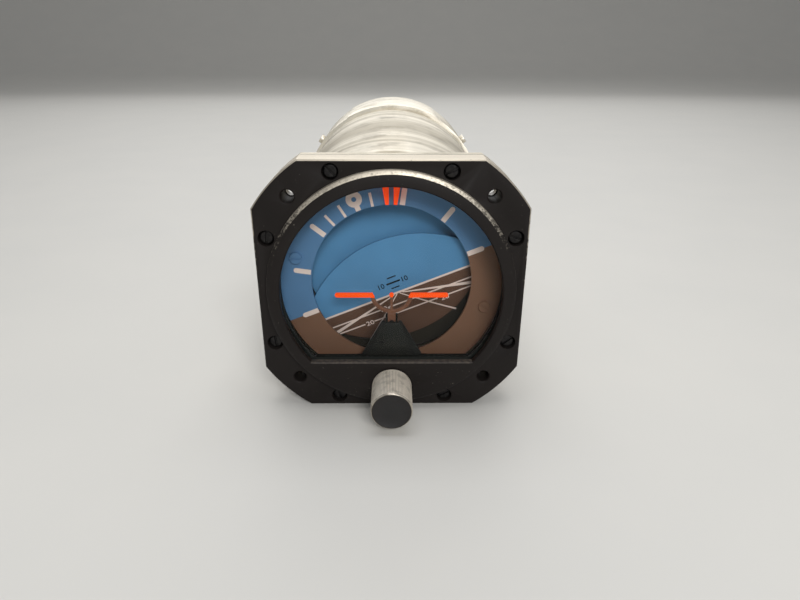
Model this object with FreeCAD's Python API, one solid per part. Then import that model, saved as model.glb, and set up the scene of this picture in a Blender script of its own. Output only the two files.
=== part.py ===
"""Panel attitude indicator of the air-driven gyro kind.

Frame: origin on the instrument's axis, on the front face of the mounting flange.
+X is right and +Z is up as the pilot sees the dial, +Y runs back into the case.
"""
import FreeCAD, Part
import math
import os

V = FreeCAD.Vector

# ---------------------------------------------------------------- driving dimensions (mm)
FLANGE_WIDTH = 85.8
FLANGE_HEIGHT = 85.0
FLANGE_CORNER_R = 51.0      # its corners are arcs about the axis
MOUNT_PITCH = 62.86         # side of the square of panel screws (88.9 bolt circle)
MOUNT_HOLE_R = 2.05
EDGE_BREAK = 0.4            # chamfer on the bezel's front edges
SCREW_NEAR = 18.2           # the eight bezel screws sit in pairs along each side
SCREW_FAR = 38.9

SPIGOT_R = 39.8             # ring that fills the round hole in the panel
SPIGOT_SHOULDER_Y = -2.5
SPIGOT_FACE_R = 38.7
SPIGOT_FACE_Y = -3.0
LIP_Y = -3.5                # front of the lip round the glass
APERTURE_R = 35.6
APERTURE_Z = -0.6           # the opening's arc is struck from just under the dial's centre
APERTURE_CHORD_Z = -23.9    # flat lower edge of the opening

GLASS_FRONT_Y = -1.2
GLASS_T = 3.0
GLASS_R = 37.5
BEZEL_BACK_Y = 8.4
GASKET_T = 0.4
CASE_FLANGE_BACK_Y = 12.0
CHAMBER_R = 39.2            # inside of the bezel behind the glass
LOWER_WALL_Y = 2.6          # back of the wall that carries the knob
LOWER_WALL_Z = -26.4

CASE_R = 42.9
CASE_WALL = 2.0
COVER_Y = 129.0             # front edge of the rear cover's skirt
SHELL_END_Y = 150.0
SPIGOT_STEP_R = 42.2        # reduced end of the shell, inside the cover's skirt
COVER_R = 44.4
COVER_PAD_R = 44.8          # raised pad along the top of the cover
COVER_PAD_HALF_ANGLE = 30.0
COVER_END_Y = 175.0
COVER_WALL = 3.0
COVER_SCREW_ANGLES = (55.0, 125.0, 235.0, 305.0)
COVER_SCREW_Y = 147.0

KNOB_Z = -32.8
KNOB_R = 6.7
KNOB_FRONT_Y = -19.2
KNOB_BACK_Y = -3.7
KNOB_SHAFT_R = 1.6
PINION_R = 2.5              # pitch radius of the pinion on the knob's shaft
PINION_TEETH = 10
RACK_PITCH = 2 * math.pi * PINION_R / PINION_TEETH

SYMBOL_Z = -2.44            # height of the miniature aeroplane's centre dot
WING_IN = (5.7, 6.3)        # the wings' inner ends slope, from lower edge to upper edge
WING_OUT = 18.75
WING_T = 1.6
WING_DROP = 0.15            # the wings' middle lies this far under the dot
BELLY_R = (5.85, 7.15)      # inner and outer radius of the half-round body
BELLY_RISE = 0.6            # its centre lies this far over the dot
STEM_HALF_W = 1.3

ROLL_DEG = 22.0             # bank shown: the dial's right side is up
RING_FRONT_Y = 8.5
RING_IN_R = 26.8
RING_OUT_R = 37.6
RING_SCREW = (26.0, 20.0)

CARD_PIVOT_Y = 87.5
CARD_R = 75.0               # the card is a strip of a cylinder about its pivot
CARD_T = 0.8
CARD_HALF_W = 29.6
CARD_TOP = (13.66, 42.05)   # apex height and radius of the upper edge
CARD_BOTTOM = (-23.6, 34.3)
BACKDROP_R = 71.5
BACKDROP_HALF_W = 27.4
BACKDROP_HALF_ANGLE = 28.0
ARM_IN = 28.4
ARM_OUT = 29.6
SWEEP_R = 39.0              # the rolling assembly stays inside this radius

GYRO_Y = 47.1               # pitch axis
DRIVE_ARM = 17.0            # drive pin, ahead of the pitch axis
YOKE_IN = 33.0
YOKE_OUT = 35.5
YOKE_HALF_H = 7.0
YOKE_BACK_Y = 104.0
YOKE_PLATE_T = 3.0

HOUSING_R = 22.0
HOUSING_WALL = 2.6
HOUSING_BOTTOM_Z = -18.0
HOUSING_SPLIT_Z = 12.0
HOUSING_TOP_Z = 18.0
ROTOR_R = 17.5
ROTOR_SHAFT_R = 1.5
RUN = 0.02                  # radial clearance of a running fit
CLEAR = 0.05                # radial clearance round a screw

BLOCK_HALF = 7.0            # exhaust block under the rotor housing
BLOCK_BOTTOM_Z = -27.0
PORT_Z = -23.6
FORE_AFT_SHAFT_Z = -19.4
SIDE_SHAFT_Z = -21.0
VANE_SHAFT_R = 0.5

AIR_PORT_X = 18.0
AIR_PORT_Z = 10.0
BULKHEAD_Y = 140.0
SHAFT_R = 4.0


# ---------------------------------------------------------------- shape helpers
def ycyl(r, y0, y1, x=0.0, z=0.0):
    """Cylinder along Y."""
    return Part.makeCylinder(r, y1 - y0, V(x, y0, z), V(0, 1, 0))


def xcyl(r, x0, x1, y=0.0, z=0.0):
    """Cylinder along X."""
    return Part.makeCylinder(r, x1 - x0, V(x0, y, z), V(1, 0, 0))


def zcyl(r, z0, z1, x=0.0, y=0.0):
    """Cylinder along Z."""
    return Part.makeCylinder(r, z1 - z0, V(x, y, z0), V(0, 0, 1))


def ytube(r_out, r_in, y0, y1, x=0.0, z=0.0):
    """Tube along Y."""
    return ycyl(r_out, y0, y1, x, z).cut(ycyl(r_in, y0 - 1, y1 + 1, x, z))


def block(x0, x1, y0, y1, z0, z1):
    """Box between two corners."""
    return Part.makeBox(x1 - x0, y1 - y0, z1 - z0, V(x0, y0, z0))


def prism_y(points, y0, y1):
    """Polygon of (x, z) points carried from y0 to y1."""
    wire = Part.makePolygon([V(x, y0, z) for x, z in points + points[:1]])
    return Part.Face(wire).extrude(V(0, y1 - y0, 0))


def prism_x(points, x0, x1):
    """Polygon of (y, z) points carried from x0 to x1."""
    wire = Part.makePolygon([V(x0, y, z) for y, z in points + points[:1]])
    return Part.Face(wire).extrude(V(x1 - x0, 0, 0))


def turned(profile):
    """Solid of revolution about Y from (radius, y) points."""
    wire = Part.makePolygon([V(r, y, 0) for r, y in profile + profile[:1]])
    return Part.Face(wire).revolve(V(0, 0, 0), V(0, 1, 0), 360)


def dee(radius, chord_z, y0, y1):
    """Disc whose lower part is cut off along a level chord."""
    side = 2 * radius
    return ycyl(radius, y0, y1).common(block(-side, side, y0, y1, chord_z, side))


def bar_x(start, end, half_width, x0, x1):
    """Flat bar with round ends, in the YZ plane, between two (y, z) points."""
    (ya, za), (yb, zb) = start, end
    length = math.hypot(yb - ya, zb - za)
    angle = math.degrees(math.atan2(zb - za, yb - ya))
    middle = block(x0, x1, 0, length, -half_width, half_width)
    middle.rotate(V(0, 0, 0), V(1, 0, 0), angle)
    middle.translate(V(0, ya, za))
    ends = [xcyl(half_width, x0, x1, ya, za), xcyl(half_width, x0, x1, yb, zb)]
    return middle.fuse(ends)


def fused(shapes):
    """One solid from touching shapes."""
    whole = shapes[0].fuse(shapes[1:]) if len(shapes) > 1 else shapes[0]
    return whole.removeSplitter()


def mirrored(shape):
    """The same shape on the other side of the YZ plane."""
    return shape.mirror(V(0, 0, 0), V(1, 0, 0))


def turn_y(shape, degrees):
    """Copy turned about the instrument's axis."""
    copy = shape.copy()
    copy.rotate(V(0, 0, 0), V(0, 1, 0), degrees)
    return copy


def slotted_screw(head_r, head_h, shank_r, length, turn=0.0):
    """Slotted screw pointing +Y, with its head's seat at y = 0 and its slot turned from level."""
    slot_w = 0.32 * head_r
    edge = 0.3 * head_h
    head = turned([(0, -head_h), (head_r - edge, -head_h), (head_r, edge - head_h), (head_r, 0), (0, 0)])
    head = head.cut(block(-head_r, head_r, -head_h, -0.55 * head_h, -slot_w / 2, slot_w / 2))
    return turn_y(head.fuse(ycyl(shank_r, 0, length)).removeSplitter(), turn)


def placed(shape, x=0.0, y=0.0, z=0.0):
    """Copy moved by an offset."""
    copy = shape.copy()
    copy.translate(V(x, y, z))
    return copy


def reversed_y(shape):
    """Copy turned to point the other way along Y."""
    copy = shape.copy()
    copy.rotate(V(0, 0, 0), V(0, 0, 1), 180)
    return copy


def hexagon(across_flats, y0, y1, x, z):
    """Hexagonal bar along Y."""
    corner = across_flats / math.sqrt(3)
    angles = [math.radians(60 * i) for i in range(6)]
    points = [(x + corner * math.cos(a), z + corner * math.sin(a)) for a in angles]
    return prism_y(points, y0, y1)


NODES = {}


def keep(name, *solids):
    """Register one node, as one solid or as a group of equal pieces."""
    NODES[name] = solids[0] if len(solids) == 1 else Part.makeCompound(list(solids))


def keep_rolled(name, *solids):
    """Register a node of the rolling assembly, which is drawn level."""
    keep(name, *[turn_y(solid, -ROLL_DEG) for solid in solids])


# ---------------------------------------------------------------- bezel and its screws
HALF = FLANGE_HEIGHT / 2
HALF_WIDTH = FLANGE_WIDTH / 2
CASE_FLANGE_Y = BEZEL_BACK_Y + GASKET_T
MOUNT = MOUNT_PITCH / 2
MOUNT_PLACES = [(sx * MOUNT, sz * MOUNT) for sx in (-1, 1) for sz in (-1, 1)]
SCREW_PLACES = [(sx * a, sz * b) for a, b in ((SCREW_NEAR, SCREW_FAR), (SCREW_FAR, SCREW_NEAR))
                for sx in (-1, 1) for sz in (-1, 1)]
SCREW_TURNS = (80.0, 45.0, 150.0, -25.0, 85.0, 95.0, -40.0, 20.0)     # as a hand left the slots
SCREW_SEAT_Y = 2.6
SCREW_TIP_Y = 11.6
SCREW_WELL_R = 2.6
SCREW_R = 1.5
INSERT_R = 3.0
INSERT_BORE_R = 1.75
INDEX_Y = 5.6
INDEX_T = 0.8
INDEX_SCREW = (4.5, 37.0)
GUIDE_SCREW = (9.0, -30.5)
PEDESTAL_SCREW = (3.6, -19.5)
SMALL_R = 0.8
GLASS_BACK_Y = GLASS_FRONT_Y + GLASS_T
SEAL_BACK_Y = GLASS_BACK_Y + 0.5
RETAINER_BACK_Y = SEAL_BACK_Y + 1.6
BUSHING_R = 3.0


def flange_outline(y0, y1):
    """The square flange with its corners turned to a circle."""
    plate = block(-HALF_WIDTH, HALF_WIDTH, y0, y1, -HALF, HALF)
    return plate.common(ycyl(FLANGE_CORNER_R, y0, y1))


def chamfered_flange():
    """Flange plate with its front edge broken all round."""
    plate = flange_outline(0, BEZEL_BACK_Y)
    front_edges = [edge for edge in plate.Edges if edge.BoundBox.YMax < 0.001]
    return plate.makeChamfer(EDGE_BREAK, front_edges)


def aperture_chamfer():
    """Tapered D that breaks the front edge of the opening."""
    y0, y1 = (LIP_Y - EDGE_BREAK, LIP_Y + EDGE_BREAK)
    cone = turned([(0, y0), (APERTURE_R + 2 * EDGE_BREAK, y0), (APERTURE_R, y1), (0, y1)])
    low_z = APERTURE_CHORD_Z - 2 * EDGE_BREAK
    slope = prism_x([(y0, low_z), (y1, APERTURE_CHORD_Z), (y1, HALF), (y0, HALF)], -HALF, HALF)
    return placed(cone, 0, 0, APERTURE_Z).common(slope)


def bezel():
    """Flange and spigot ring, open in front of the dial, with a solid wall for the knob."""
    spigot = turned([(0, 0), (0, LIP_Y), (APERTURE_R, LIP_Y), (SPIGOT_FACE_R, SPIGOT_FACE_Y),
                     (SPIGOT_R, SPIGOT_SHOULDER_Y), (SPIGOT_R, 0)])
    body = chamfered_flange().fuse(spigot)
    opening = dee(APERTURE_R, APERTURE_CHORD_Z - APERTURE_Z, LIP_Y - 1, GLASS_FRONT_Y)
    cuts = [aperture_chamfer(),
            placed(opening, 0, 0, APERTURE_Z),
            dee(GLASS_R + 0.2, LOWER_WALL_Z, GLASS_FRONT_Y, GLASS_BACK_Y),
            dee(CHAMBER_R, LOWER_WALL_Z, GLASS_BACK_Y, BEZEL_BACK_Y),
            ycyl(CHAMBER_R, LOWER_WALL_Y, BEZEL_BACK_Y),
            ycyl(BUSHING_R, LIP_Y - 1, LOWER_WALL_Y, 0, KNOB_Z)]
    for x, z in SCREW_PLACES:
        cuts.append(ycyl(SCREW_WELL_R, -4, SCREW_SEAT_Y, x, z).cut(ycyl(SPIGOT_R, -5, 0)))
        cuts.append(ycyl(SCREW_R + CLEAR, 0, BEZEL_BACK_Y, x, z))
    for x, z in MOUNT_PLACES:
        cuts.append(ycyl(MOUNT_HOLE_R, -1, BEZEL_BACK_Y, x, z))
        outer_r = MOUNT_HOLE_R + EDGE_BREAK
        cuts.append(Part.makeCone(outer_r, MOUNT_HOLE_R, EDGE_BREAK, V(x, 0, z), V(0, 1, 0)))
    for side in (-1, 1):
        cuts.append(ycyl(SMALL_R, 0.4, LOWER_WALL_Y, side * GUIDE_SCREW[0], GUIDE_SCREW[1]))
    return body.cut(cuts).removeSplitter()


def bezel_gasket():
    """Thin gasket between the bezel and the case's flange."""
    holes = [ycyl(CHAMBER_R, 0, 20)]
    holes += [ycyl(SCREW_R + CLEAR, 0, 20, x, z) for x, z in SCREW_PLACES]
    holes += [ycyl(MOUNT_HOLE_R, 0, 20, x, z) for x, z in MOUNT_PLACES]
    return flange_outline(BEZEL_BACK_Y, CASE_FLANGE_Y).cut(holes)


def bezel_screws():
    """Eight slotted screws, sunk in the bezel and threaded into the case's flange."""
    length = SCREW_TIP_Y - SCREW_SEAT_Y
    return [placed(slotted_screw(2.3, 1.5, SCREW_R, length, turn), x, SCREW_SEAT_Y, z)
            for (x, z), turn in zip(SCREW_PLACES, SCREW_TURNS)]


def mounting_inserts():
    """Four threaded inserts that take the panel's screws, thread drawn at its outer size."""
    ring = ytube(INSERT_R, INSERT_BORE_R, CASE_FLANGE_Y, CASE_FLANGE_BACK_Y)
    return [placed(ring, x, 0, z) for x, z in MOUNT_PLACES]


keep("bezel", bezel())
keep("bezel_gasket", bezel_gasket())
keep("bezel_screws", *bezel_screws())
keep("mounting_inserts", *mounting_inserts())

# ---------------------------------------------------------------- glass, seal, retainer, index
keep("lens_glass", dee(GLASS_R, LOWER_WALL_Z + 0.2, GLASS_FRONT_Y, GLASS_BACK_Y))
keep("lens_seal", dee(GLASS_R, LOWER_WALL_Z + 0.2, GLASS_BACK_Y, SEAL_BACK_Y)
     .cut(dee(36.0, LOWER_WALL_Z + 1.6, GLASS_BACK_Y - 1, SEAL_BACK_Y + 1)))


def lens_retainer():
    """Threaded ring that holds the glass and carries the bank index."""
    ring = dee(CHAMBER_R - CLEAR, LOWER_WALL_Z + 0.1, SEAL_BACK_Y, RETAINER_BACK_Y)
    ring = ring.cut(dee(36.2, LOWER_WALL_Z + 1.8, SEAL_BACK_Y - 1, RETAINER_BACK_Y + 1))
    holes = [ycyl(SMALL_R, 0, 20, side * INDEX_SCREW[0], INDEX_SCREW[1]) for side in (-1, 1)]
    return ring.cut(holes)


def bank_index():
    """Two tapered pointers at the top, on one bar that stands off the retainer."""
    pointer = prism_y([(0.75, 27.4), (1.9, 27.4), (3.05, 34.6), (3.05, 36.0), (0.75, 36.0)],
                      INDEX_Y, INDEX_Y + INDEX_T)
    bar = block(-6.2, 6.2, INDEX_Y, INDEX_Y + INDEX_T, 35.4, 38.2)
    posts = [ycyl(1.3, RETAINER_BACK_Y, INDEX_Y, side * INDEX_SCREW[0], INDEX_SCREW[1])
             for side in (-1, 1)]
    body = fused([bar, pointer, mirrored(pointer)] + posts)
    holes = [ycyl(SMALL_R, 0, 20, side * INDEX_SCREW[0], INDEX_SCREW[1]) for side in (-1, 1)]
    return body.cut(holes)


def index_screws():
    """Two small screws from behind."""
    screw = reversed_y(slotted_screw(1.3, 0.7, SMALL_R, INDEX_Y + INDEX_T - SEAL_BACK_Y - 0.3))
    return [placed(screw, side * INDEX_SCREW[0], INDEX_Y + INDEX_T, INDEX_SCREW[1])
            for side in (-1, 1)]


keep("lens_retainer", lens_retainer())
keep("bank_index", bank_index())
keep("index_screws", *index_screws())

# ---------------------------------------------------------------- miniature aeroplane and its drive
PEDESTAL_FRONT_Y = 2.1
PEDESTAL_BACK_Y = 4.2
PEDESTAL_TOP = (3.3, -12.0)
PEDESTAL_FOOT = (10.2, -24.3)
FLANK_RUNS = (0.6, 2.2)     # how far in the sloping flanks reach, at the top and at the foot
FLANK_DEPTH = 1.3
SLIDE_Y = (4.4, 5.4)
SYMBOL_Y = (3.6, 4.4)
GUIDE_Y = (5.6, 6.6)
PINION_Y = (3.2, 5.4)
SLIDE_HALF_W = 2.0
SLIDE_TOP_Z = -9.8
RACK_BACK_X = 4.9
RACK_ROOT_X = 3.05


def flank_cut(side):
    """Wedge that slopes one flank of the pedestal back from its front face."""
    y0, y1 = (PEDESTAL_FRONT_Y, PEDESTAL_FRONT_Y + FLANK_DEPTH)
    sections = []
    for (x, z), run in zip((PEDESTAL_TOP, PEDESTAL_FOOT), FLANK_RUNS):
        corners = [V(side * (x - run), y0, z), V(side * x, y1, z), V(side * (x + 2), y1, z),
                   V(side * (x + 2), y0 - 1, z), V(side * (x - run), y0 - 1, z)]
        sections.append(Part.makePolygon(corners + corners[:1]))
    return Part.makeLoft(sections, True, True)


def symbol_pedestal():
    """Black trapezoid cover with sloping flanks, grooved behind for the symbol's stem."""
    (x0, z0), (x1, z1) = PEDESTAL_TOP, PEDESTAL_FOOT
    body = prism_y([(-x0, z0), (x0, z0), (x1, z1), (-x1, z1)], PEDESTAL_FRONT_Y, PEDESTAL_BACK_Y)
    body = body.cut([flank_cut(-1), flank_cut(1)])
    groove = block(-2.3, 2.3, 3.3, PEDESTAL_BACK_Y, -25, -11)
    holes = [ycyl(SMALL_R, 0, 20, side * PEDESTAL_SCREW[0], PEDESTAL_SCREW[1]) for side in (-1, 1)]
    return body.cut([groove] + holes)


def pedestal_screws():
    """Two tiny screws through the cover into the guide's posts."""
    screw = slotted_screw(1.0, 0.25, SMALL_R - 0.1, GUIDE_Y[1] - PEDESTAL_FRONT_Y - 0.2)
    return [placed(screw, side * PEDESTAL_SCREW[0], PEDESTAL_FRONT_Y, PEDESTAL_SCREW[1])
            for side in (-1, 1)]


def slide_guide():
    """Plate behind the slide, on four posts, with the outer bearing of the knob's shaft."""
    upper = prism_y([(-3.0, -14.5), (3.0, -14.5), (8.0, -26.0), (-8.0, -26.0)], *GUIDE_Y)
    lower = prism_y([(-12.0, -26.0), (12.0, -26.0), (12.0, -34.0), (6.0, -36.5),
                     (-6.0, -36.5), (-12.0, -34.0)], *GUIDE_Y)
    posts = []
    for side in (-1, 1):
        posts.append(ycyl(1.4, PEDESTAL_BACK_Y, GUIDE_Y[0], side * PEDESTAL_SCREW[0], PEDESTAL_SCREW[1]))
        posts.append(ycyl(2.0, LOWER_WALL_Y, GUIDE_Y[0], side * GUIDE_SCREW[0], GUIDE_SCREW[1]))
    body = fused([upper, lower] + posts)
    holes = [ycyl(KNOB_SHAFT_R + RUN, 0, 20, 0, KNOB_Z)]
    for side in (-1, 1):
        holes.append(ycyl(SMALL_R, 0, 20, side * PEDESTAL_SCREW[0], PEDESTAL_SCREW[1]))
        holes.append(ycyl(SMALL_R, 0, 20, side * GUIDE_SCREW[0], GUIDE_SCREW[1]))
    return body.cut(holes)


def guide_screws():
    """Two screws that hold the guide to the bezel's lower wall, from behind."""
    screw = reversed_y(slotted_screw(1.6, 0.8, SMALL_R, GUIDE_Y[1] - 0.6))
    return [placed(screw, side * GUIDE_SCREW[0], GUIDE_Y[1], GUIDE_SCREW[1]) for side in (-1, 1)]


def pinion_shaft():
    """Knob's shaft with its pinion, whose flat-sided teeth leave free play in the rack."""
    root_r, tip_r = 1.85, 2.9
    shaft = ycyl(KNOB_SHAFT_R, -15.0, 7.4).fuse(ycyl(root_r, *PINION_Y))
    tooth = prism_y([(root_r - 0.5, -0.36), (PINION_R, -0.28), (tip_r, -0.14),
                     (tip_r, 0.14), (PINION_R, 0.28), (root_r - 0.5, 0.36)], *PINION_Y)
    teeth = [turn_y(tooth, 360.0 * i / PINION_TEETH) for i in range(PINION_TEETH)]
    return placed(fused([shaft] + teeth), 0, 0, KNOB_Z)


def symbol_slide():
    """Bar that carries the aeroplane, with a rack down its offset leg."""
    y0, y1 = SLIDE_Y
    stem = block(-SLIDE_HALF_W, SLIDE_HALF_W, y0, y1, -24.0, SLIDE_TOP_Z)
    jog = block(-SLIDE_HALF_W, RACK_BACK_X, y0, y1, -27.2, -24.0)
    leg = block(RACK_ROOT_X, RACK_BACK_X, y0, y1, -36.2, -27.2)
    tip_x = PINION_R - 0.4
    teeth = []
    for step in (-1.5, -0.5, 0.5, 1.5):
        z = KNOB_Z + step * RACK_PITCH
        teeth.append(prism_y([(RACK_ROOT_X + 0.1, z - 0.46), (tip_x, z - 0.18),
                              (tip_x, z + 0.18), (RACK_ROOT_X + 0.1, z + 0.46)], y0, y1))
    return fused([stem, jog, leg] + teeth).cut(ycyl(SMALL_R, 0, 20, 0, SLIDE_TOP_Z - 2.6))


def airplane_symbol():
    """Stamped sheet: two wings, a half-round body under them, a centre post and a stem."""
    y0, y1 = SYMBOL_Y
    half_t = WING_T / 2
    wing_z = SYMBOL_Z - WING_DROP
    tip_x = WING_OUT - half_t
    wing = prism_y([(WING_IN[0], wing_z - half_t), (tip_x, wing_z - half_t),
                    (tip_x, wing_z + half_t), (WING_IN[1], wing_z + half_t)], y0, y1)
    wing = wing.fuse(ycyl(half_t, y0, y1, tip_x, wing_z))
    under_wings = block(-8, 8, y0, y1, SYMBOL_Z - 8, wing_z)
    body = ytube(BELLY_R[1], BELLY_R[0], y0, y1, 0, SYMBOL_Z + BELLY_RISE).common(under_wings)
    belly_z = SYMBOL_Z + BELLY_RISE - (BELLY_R[0] + BELLY_R[1]) / 2
    post = block(-0.45, 0.45, y0, y1, belly_z, SYMBOL_Z)
    dot = ycyl(0.72, y0, y1, 0, SYMBOL_Z)
    stem = block(-STEM_HALF_W, STEM_HALF_W, y0, y1, -14.0, belly_z)
    hole = ycyl(SMALL_R, 0, 20, 0, SLIDE_TOP_Z - 2.6)
    return fused([body, wing, mirrored(wing), post, dot, stem]).cut(hole)


def adjust_knob():
    """Knob with a small bright chamfer, a blind bore and a hole for its set screw."""
    chamfer = 0.45
    body = turned([(0, KNOB_FRONT_Y), (KNOB_R - chamfer, KNOB_FRONT_Y), (KNOB_R, KNOB_FRONT_Y + chamfer),
                   (KNOB_R, KNOB_BACK_Y - 0.3), (KNOB_R - 0.3, KNOB_BACK_Y), (0, KNOB_BACK_Y)])
    body = body.cut([ycyl(KNOB_SHAFT_R, -15.0, 0), zcyl(1.0, -8.0, -KNOB_SHAFT_R, 0, -8.5)])
    return placed(body, 0, 0, KNOB_Z)


def knob_bushing():
    """Brass sleeve in the bezel's lower wall, with a collar behind."""
    sleeve = ycyl(BUSHING_R, -3.35, LOWER_WALL_Y).fuse(ycyl(4.2, LOWER_WALL_Y, 3.1))
    return placed(sleeve.cut(ycyl(KNOB_SHAFT_R + RUN, -10, 10)), 0, 0, KNOB_Z)


keep("symbol_pedestal", symbol_pedestal())
keep("pedestal_screws", *pedestal_screws())
keep("slide_guide", slide_guide())
keep("guide_screws", *guide_screws())
keep("knob_bushing", knob_bushing())
keep("adjust_knob", adjust_knob())
keep("knob_set_screw", zcyl(1.0, KNOB_Z - 5.4, KNOB_Z - KNOB_SHAFT_R, 0, -8.5))
keep("pinion_shaft", pinion_shaft())
keep("symbol_slide", symbol_slide())
keep("airplane_symbol", airplane_symbol())
keep("symbol_rivet", ycyl(SMALL_R, SYMBOL_Y[0], SLIDE_Y[1], 0, SLIDE_TOP_Z - 2.6))

# ---------------------------------------------------------------- case, rear cover, air fittings
BORE_R = CASE_R - CASE_WALL
LIP_BACK_Y = BULKHEAD_Y + 6.0
CARRIER_SCREW_R = 38.4
CARRIER_SCREWS = [(CARRIER_SCREW_R * math.cos(math.radians(a)), CARRIER_SCREW_R * math.sin(math.radians(a)))
                  for a in (45, 135, 225, 315)]
COVER_GASKET_T = 0.6
PORT_BARREL_R = 4.75
PORT_BORE_R = 3.0
TUBE_R = 4.0


def radial_cylinder(r, r0, r1, angle, y):
    """Cylinder that points away from the axis at an angle from the top."""
    return turn_y(zcyl(r, r0, r1, 0, y), angle)


def case_shell():
    """Spun tube with a square front flange and an inner lip for the bearing carrier."""
    flange = flange_outline(CASE_FLANGE_Y, CASE_FLANGE_BACK_Y)
    tube = ycyl(CASE_R, CASE_FLANGE_Y, COVER_Y).fuse(ycyl(SPIGOT_STEP_R, COVER_Y, SHELL_END_Y))
    body = flange.fuse(tube.common(block(-HALF, HALF, 0, CASE_FLANGE_BACK_Y, -HALF, HALF)))
    body = body.fuse(tube.cut(block(-50, 50, 0, CASE_FLANGE_BACK_Y, -50, 50)))
    cuts = [ycyl(BORE_R, 0, BULKHEAD_Y + 3), ycyl(36.0, 0, LIP_BACK_Y), ycyl(BORE_R, LIP_BACK_Y, 160)]
    cuts += [ycyl(SCREW_R, 0, SCREW_TIP_Y, x, z) for x, z in SCREW_PLACES]
    cuts += [ycyl(INSERT_R, 0, CASE_FLANGE_BACK_Y, x, z) for x, z in MOUNT_PLACES]
    cuts += [ycyl(1.2, 130, LIP_BACK_Y, x, z) for x, z in CARRIER_SCREWS]
    cuts += [radial_cylinder(1.2, 39, 43, a, COVER_SCREW_Y) for a in COVER_SCREW_ANGLES]
    return body.cut(cuts).removeSplitter()


def bearing_carrier():
    """Bulkhead with a long hub that holds the two roll bearings."""
    disc = ycyl(BORE_R - 0.1, BULKHEAD_Y, BULKHEAD_Y + 3)
    body = disc.fuse([ycyl(11.0, 115.0, 146.0), turned([(11, 128), (24, BULKHEAD_Y), (11, BULKHEAD_Y)])])
    cuts = [ycyl(8.0, 115, 123), ycyl(6.0, 110, 150), ycyl(8.0, 139, 150),
            ycyl(TUBE_R, 120, 160, AIR_PORT_X, AIR_PORT_Z)]
    cuts += [ycyl(1.2, 130, 150, x, z) for x, z in CARRIER_SCREWS]
    for angle in (150, 200, 250, 300):
        x, z = (30 * math.cos(math.radians(angle)), 30 * math.sin(math.radians(angle)))
        cuts.append(ycyl(4.0, 130, 150, x, z))
    return body.cut(cuts).removeSplitter()


def carrier_screws():
    """Four screws through the shell's lip into the bulkhead."""
    screw = reversed_y(slotted_screw(2.1, 1.4, 1.2, LIP_BACK_Y - BULKHEAD_Y - 0.8))
    return [placed(screw, x, LIP_BACK_Y, z) for x, z in CARRIER_SCREWS]


def rear_cover():
    """Turned cap over the end of the shell, with a raised pad along its top."""
    shoulder_y = SHELL_END_Y + COVER_GASKET_T
    body = turned([(0, COVER_END_Y), (0, COVER_Y), (COVER_R, COVER_Y), (COVER_R, COVER_END_Y - 1.0),
                   (COVER_R - 1.0, COVER_END_Y)])
    pad = ycyl(COVER_PAD_R, COVER_Y, COVER_END_Y - 1.0)
    reach = 60 * math.sin(math.radians(COVER_PAD_HALF_ANGLE))
    rise = 60 * math.cos(math.radians(COVER_PAD_HALF_ANGLE))
    pad = pad.common(prism_y([(0, 0), (reach, rise), (0, 60), (-reach, rise)], COVER_Y, COVER_END_Y))
    inside_end = COVER_END_Y - COVER_WALL
    cuts = [ycyl(SPIGOT_STEP_R + CLEAR, 100, shoulder_y), ycyl(41.2, 120, inside_end),
            ycyl(5.0, 160, 180, AIR_PORT_X, AIR_PORT_Z), ycyl(5.0, 160, 180, -AIR_PORT_X, AIR_PORT_Z)]
    cuts += [radial_cylinder(1.2, 40, 50, a, COVER_SCREW_Y) for a in COVER_SCREW_ANGLES]
    return body.fuse(pad).cut(cuts).removeSplitter()


def cover_screws():
    """Four radial screws through the cover's skirt, heads standing proud."""
    head = zcyl(2.2, COVER_R - 0.15, COVER_R + 1.9, 0, COVER_SCREW_Y)
    slot = block(-3, 3, COVER_SCREW_Y - 0.4, COVER_SCREW_Y + 0.4, COVER_R + 1.1, COVER_R + 3)
    rim = ycyl(COVER_R, COVER_Y, COVER_END_Y)
    screw = head.cut(slot).cut(rim).fuse(zcyl(1.2, BORE_R + 0.2, COVER_R + 0.4, 0, COVER_SCREW_Y))
    return [turn_y(screw, angle) for angle in COVER_SCREW_ANGLES]


def air_port(x):
    """Straight hose nipple with a hexagon, screwed through the cover's end wall."""
    hexagon_end = COVER_END_Y + 5.0
    body = hexagon(14.0, COVER_END_Y, hexagon_end, x, AIR_PORT_Z)
    body = body.fuse([ycyl(5.0, COVER_END_Y - 7, COVER_END_Y, x, AIR_PORT_Z),
                      ycyl(PORT_BARREL_R, hexagon_end, hexagon_end + 10, x, AIR_PORT_Z)])
    return body.cut(ycyl(PORT_BORE_R, 150, 200, x, AIR_PORT_Z)).removeSplitter()


def port_nuts():
    """Two thin nuts inside the end wall."""
    y1 = COVER_END_Y - COVER_WALL
    return [hexagon(13.0, y1 - 3, y1, x, AIR_PORT_Z).cut(ycyl(5.0, 150, 200, x, AIR_PORT_Z))
            for x in (-AIR_PORT_X, AIR_PORT_X)]


keep("case_shell", case_shell())
keep("bearing_carrier", bearing_carrier())
keep("carrier_screws", *carrier_screws())
keep("front_roll_bearing", ytube(8.0, SHAFT_R + RUN, 118.0, 123.0))
keep("rear_roll_bearing", ytube(8.0, SHAFT_R + RUN, 139.0, 144.0))
keep("rear_cover", rear_cover())
keep("cover_gasket", ytube(SPIGOT_STEP_R, BORE_R, SHELL_END_Y, SHELL_END_Y + COVER_GASKET_T))
keep("cover_screws", *cover_screws())
keep("suction_port", air_port(AIR_PORT_X))
keep("inlet_port", air_port(-AIR_PORT_X))
keep("port_nuts", *port_nuts())
keep("suction_tube", ytube(TUBE_R, PORT_BORE_R, BULKHEAD_Y, COVER_END_Y - 7, AIR_PORT_X, AIR_PORT_Z))
keep("filter_element", ytube(13.0, 9.0, 146.5, 166.0))

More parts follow.
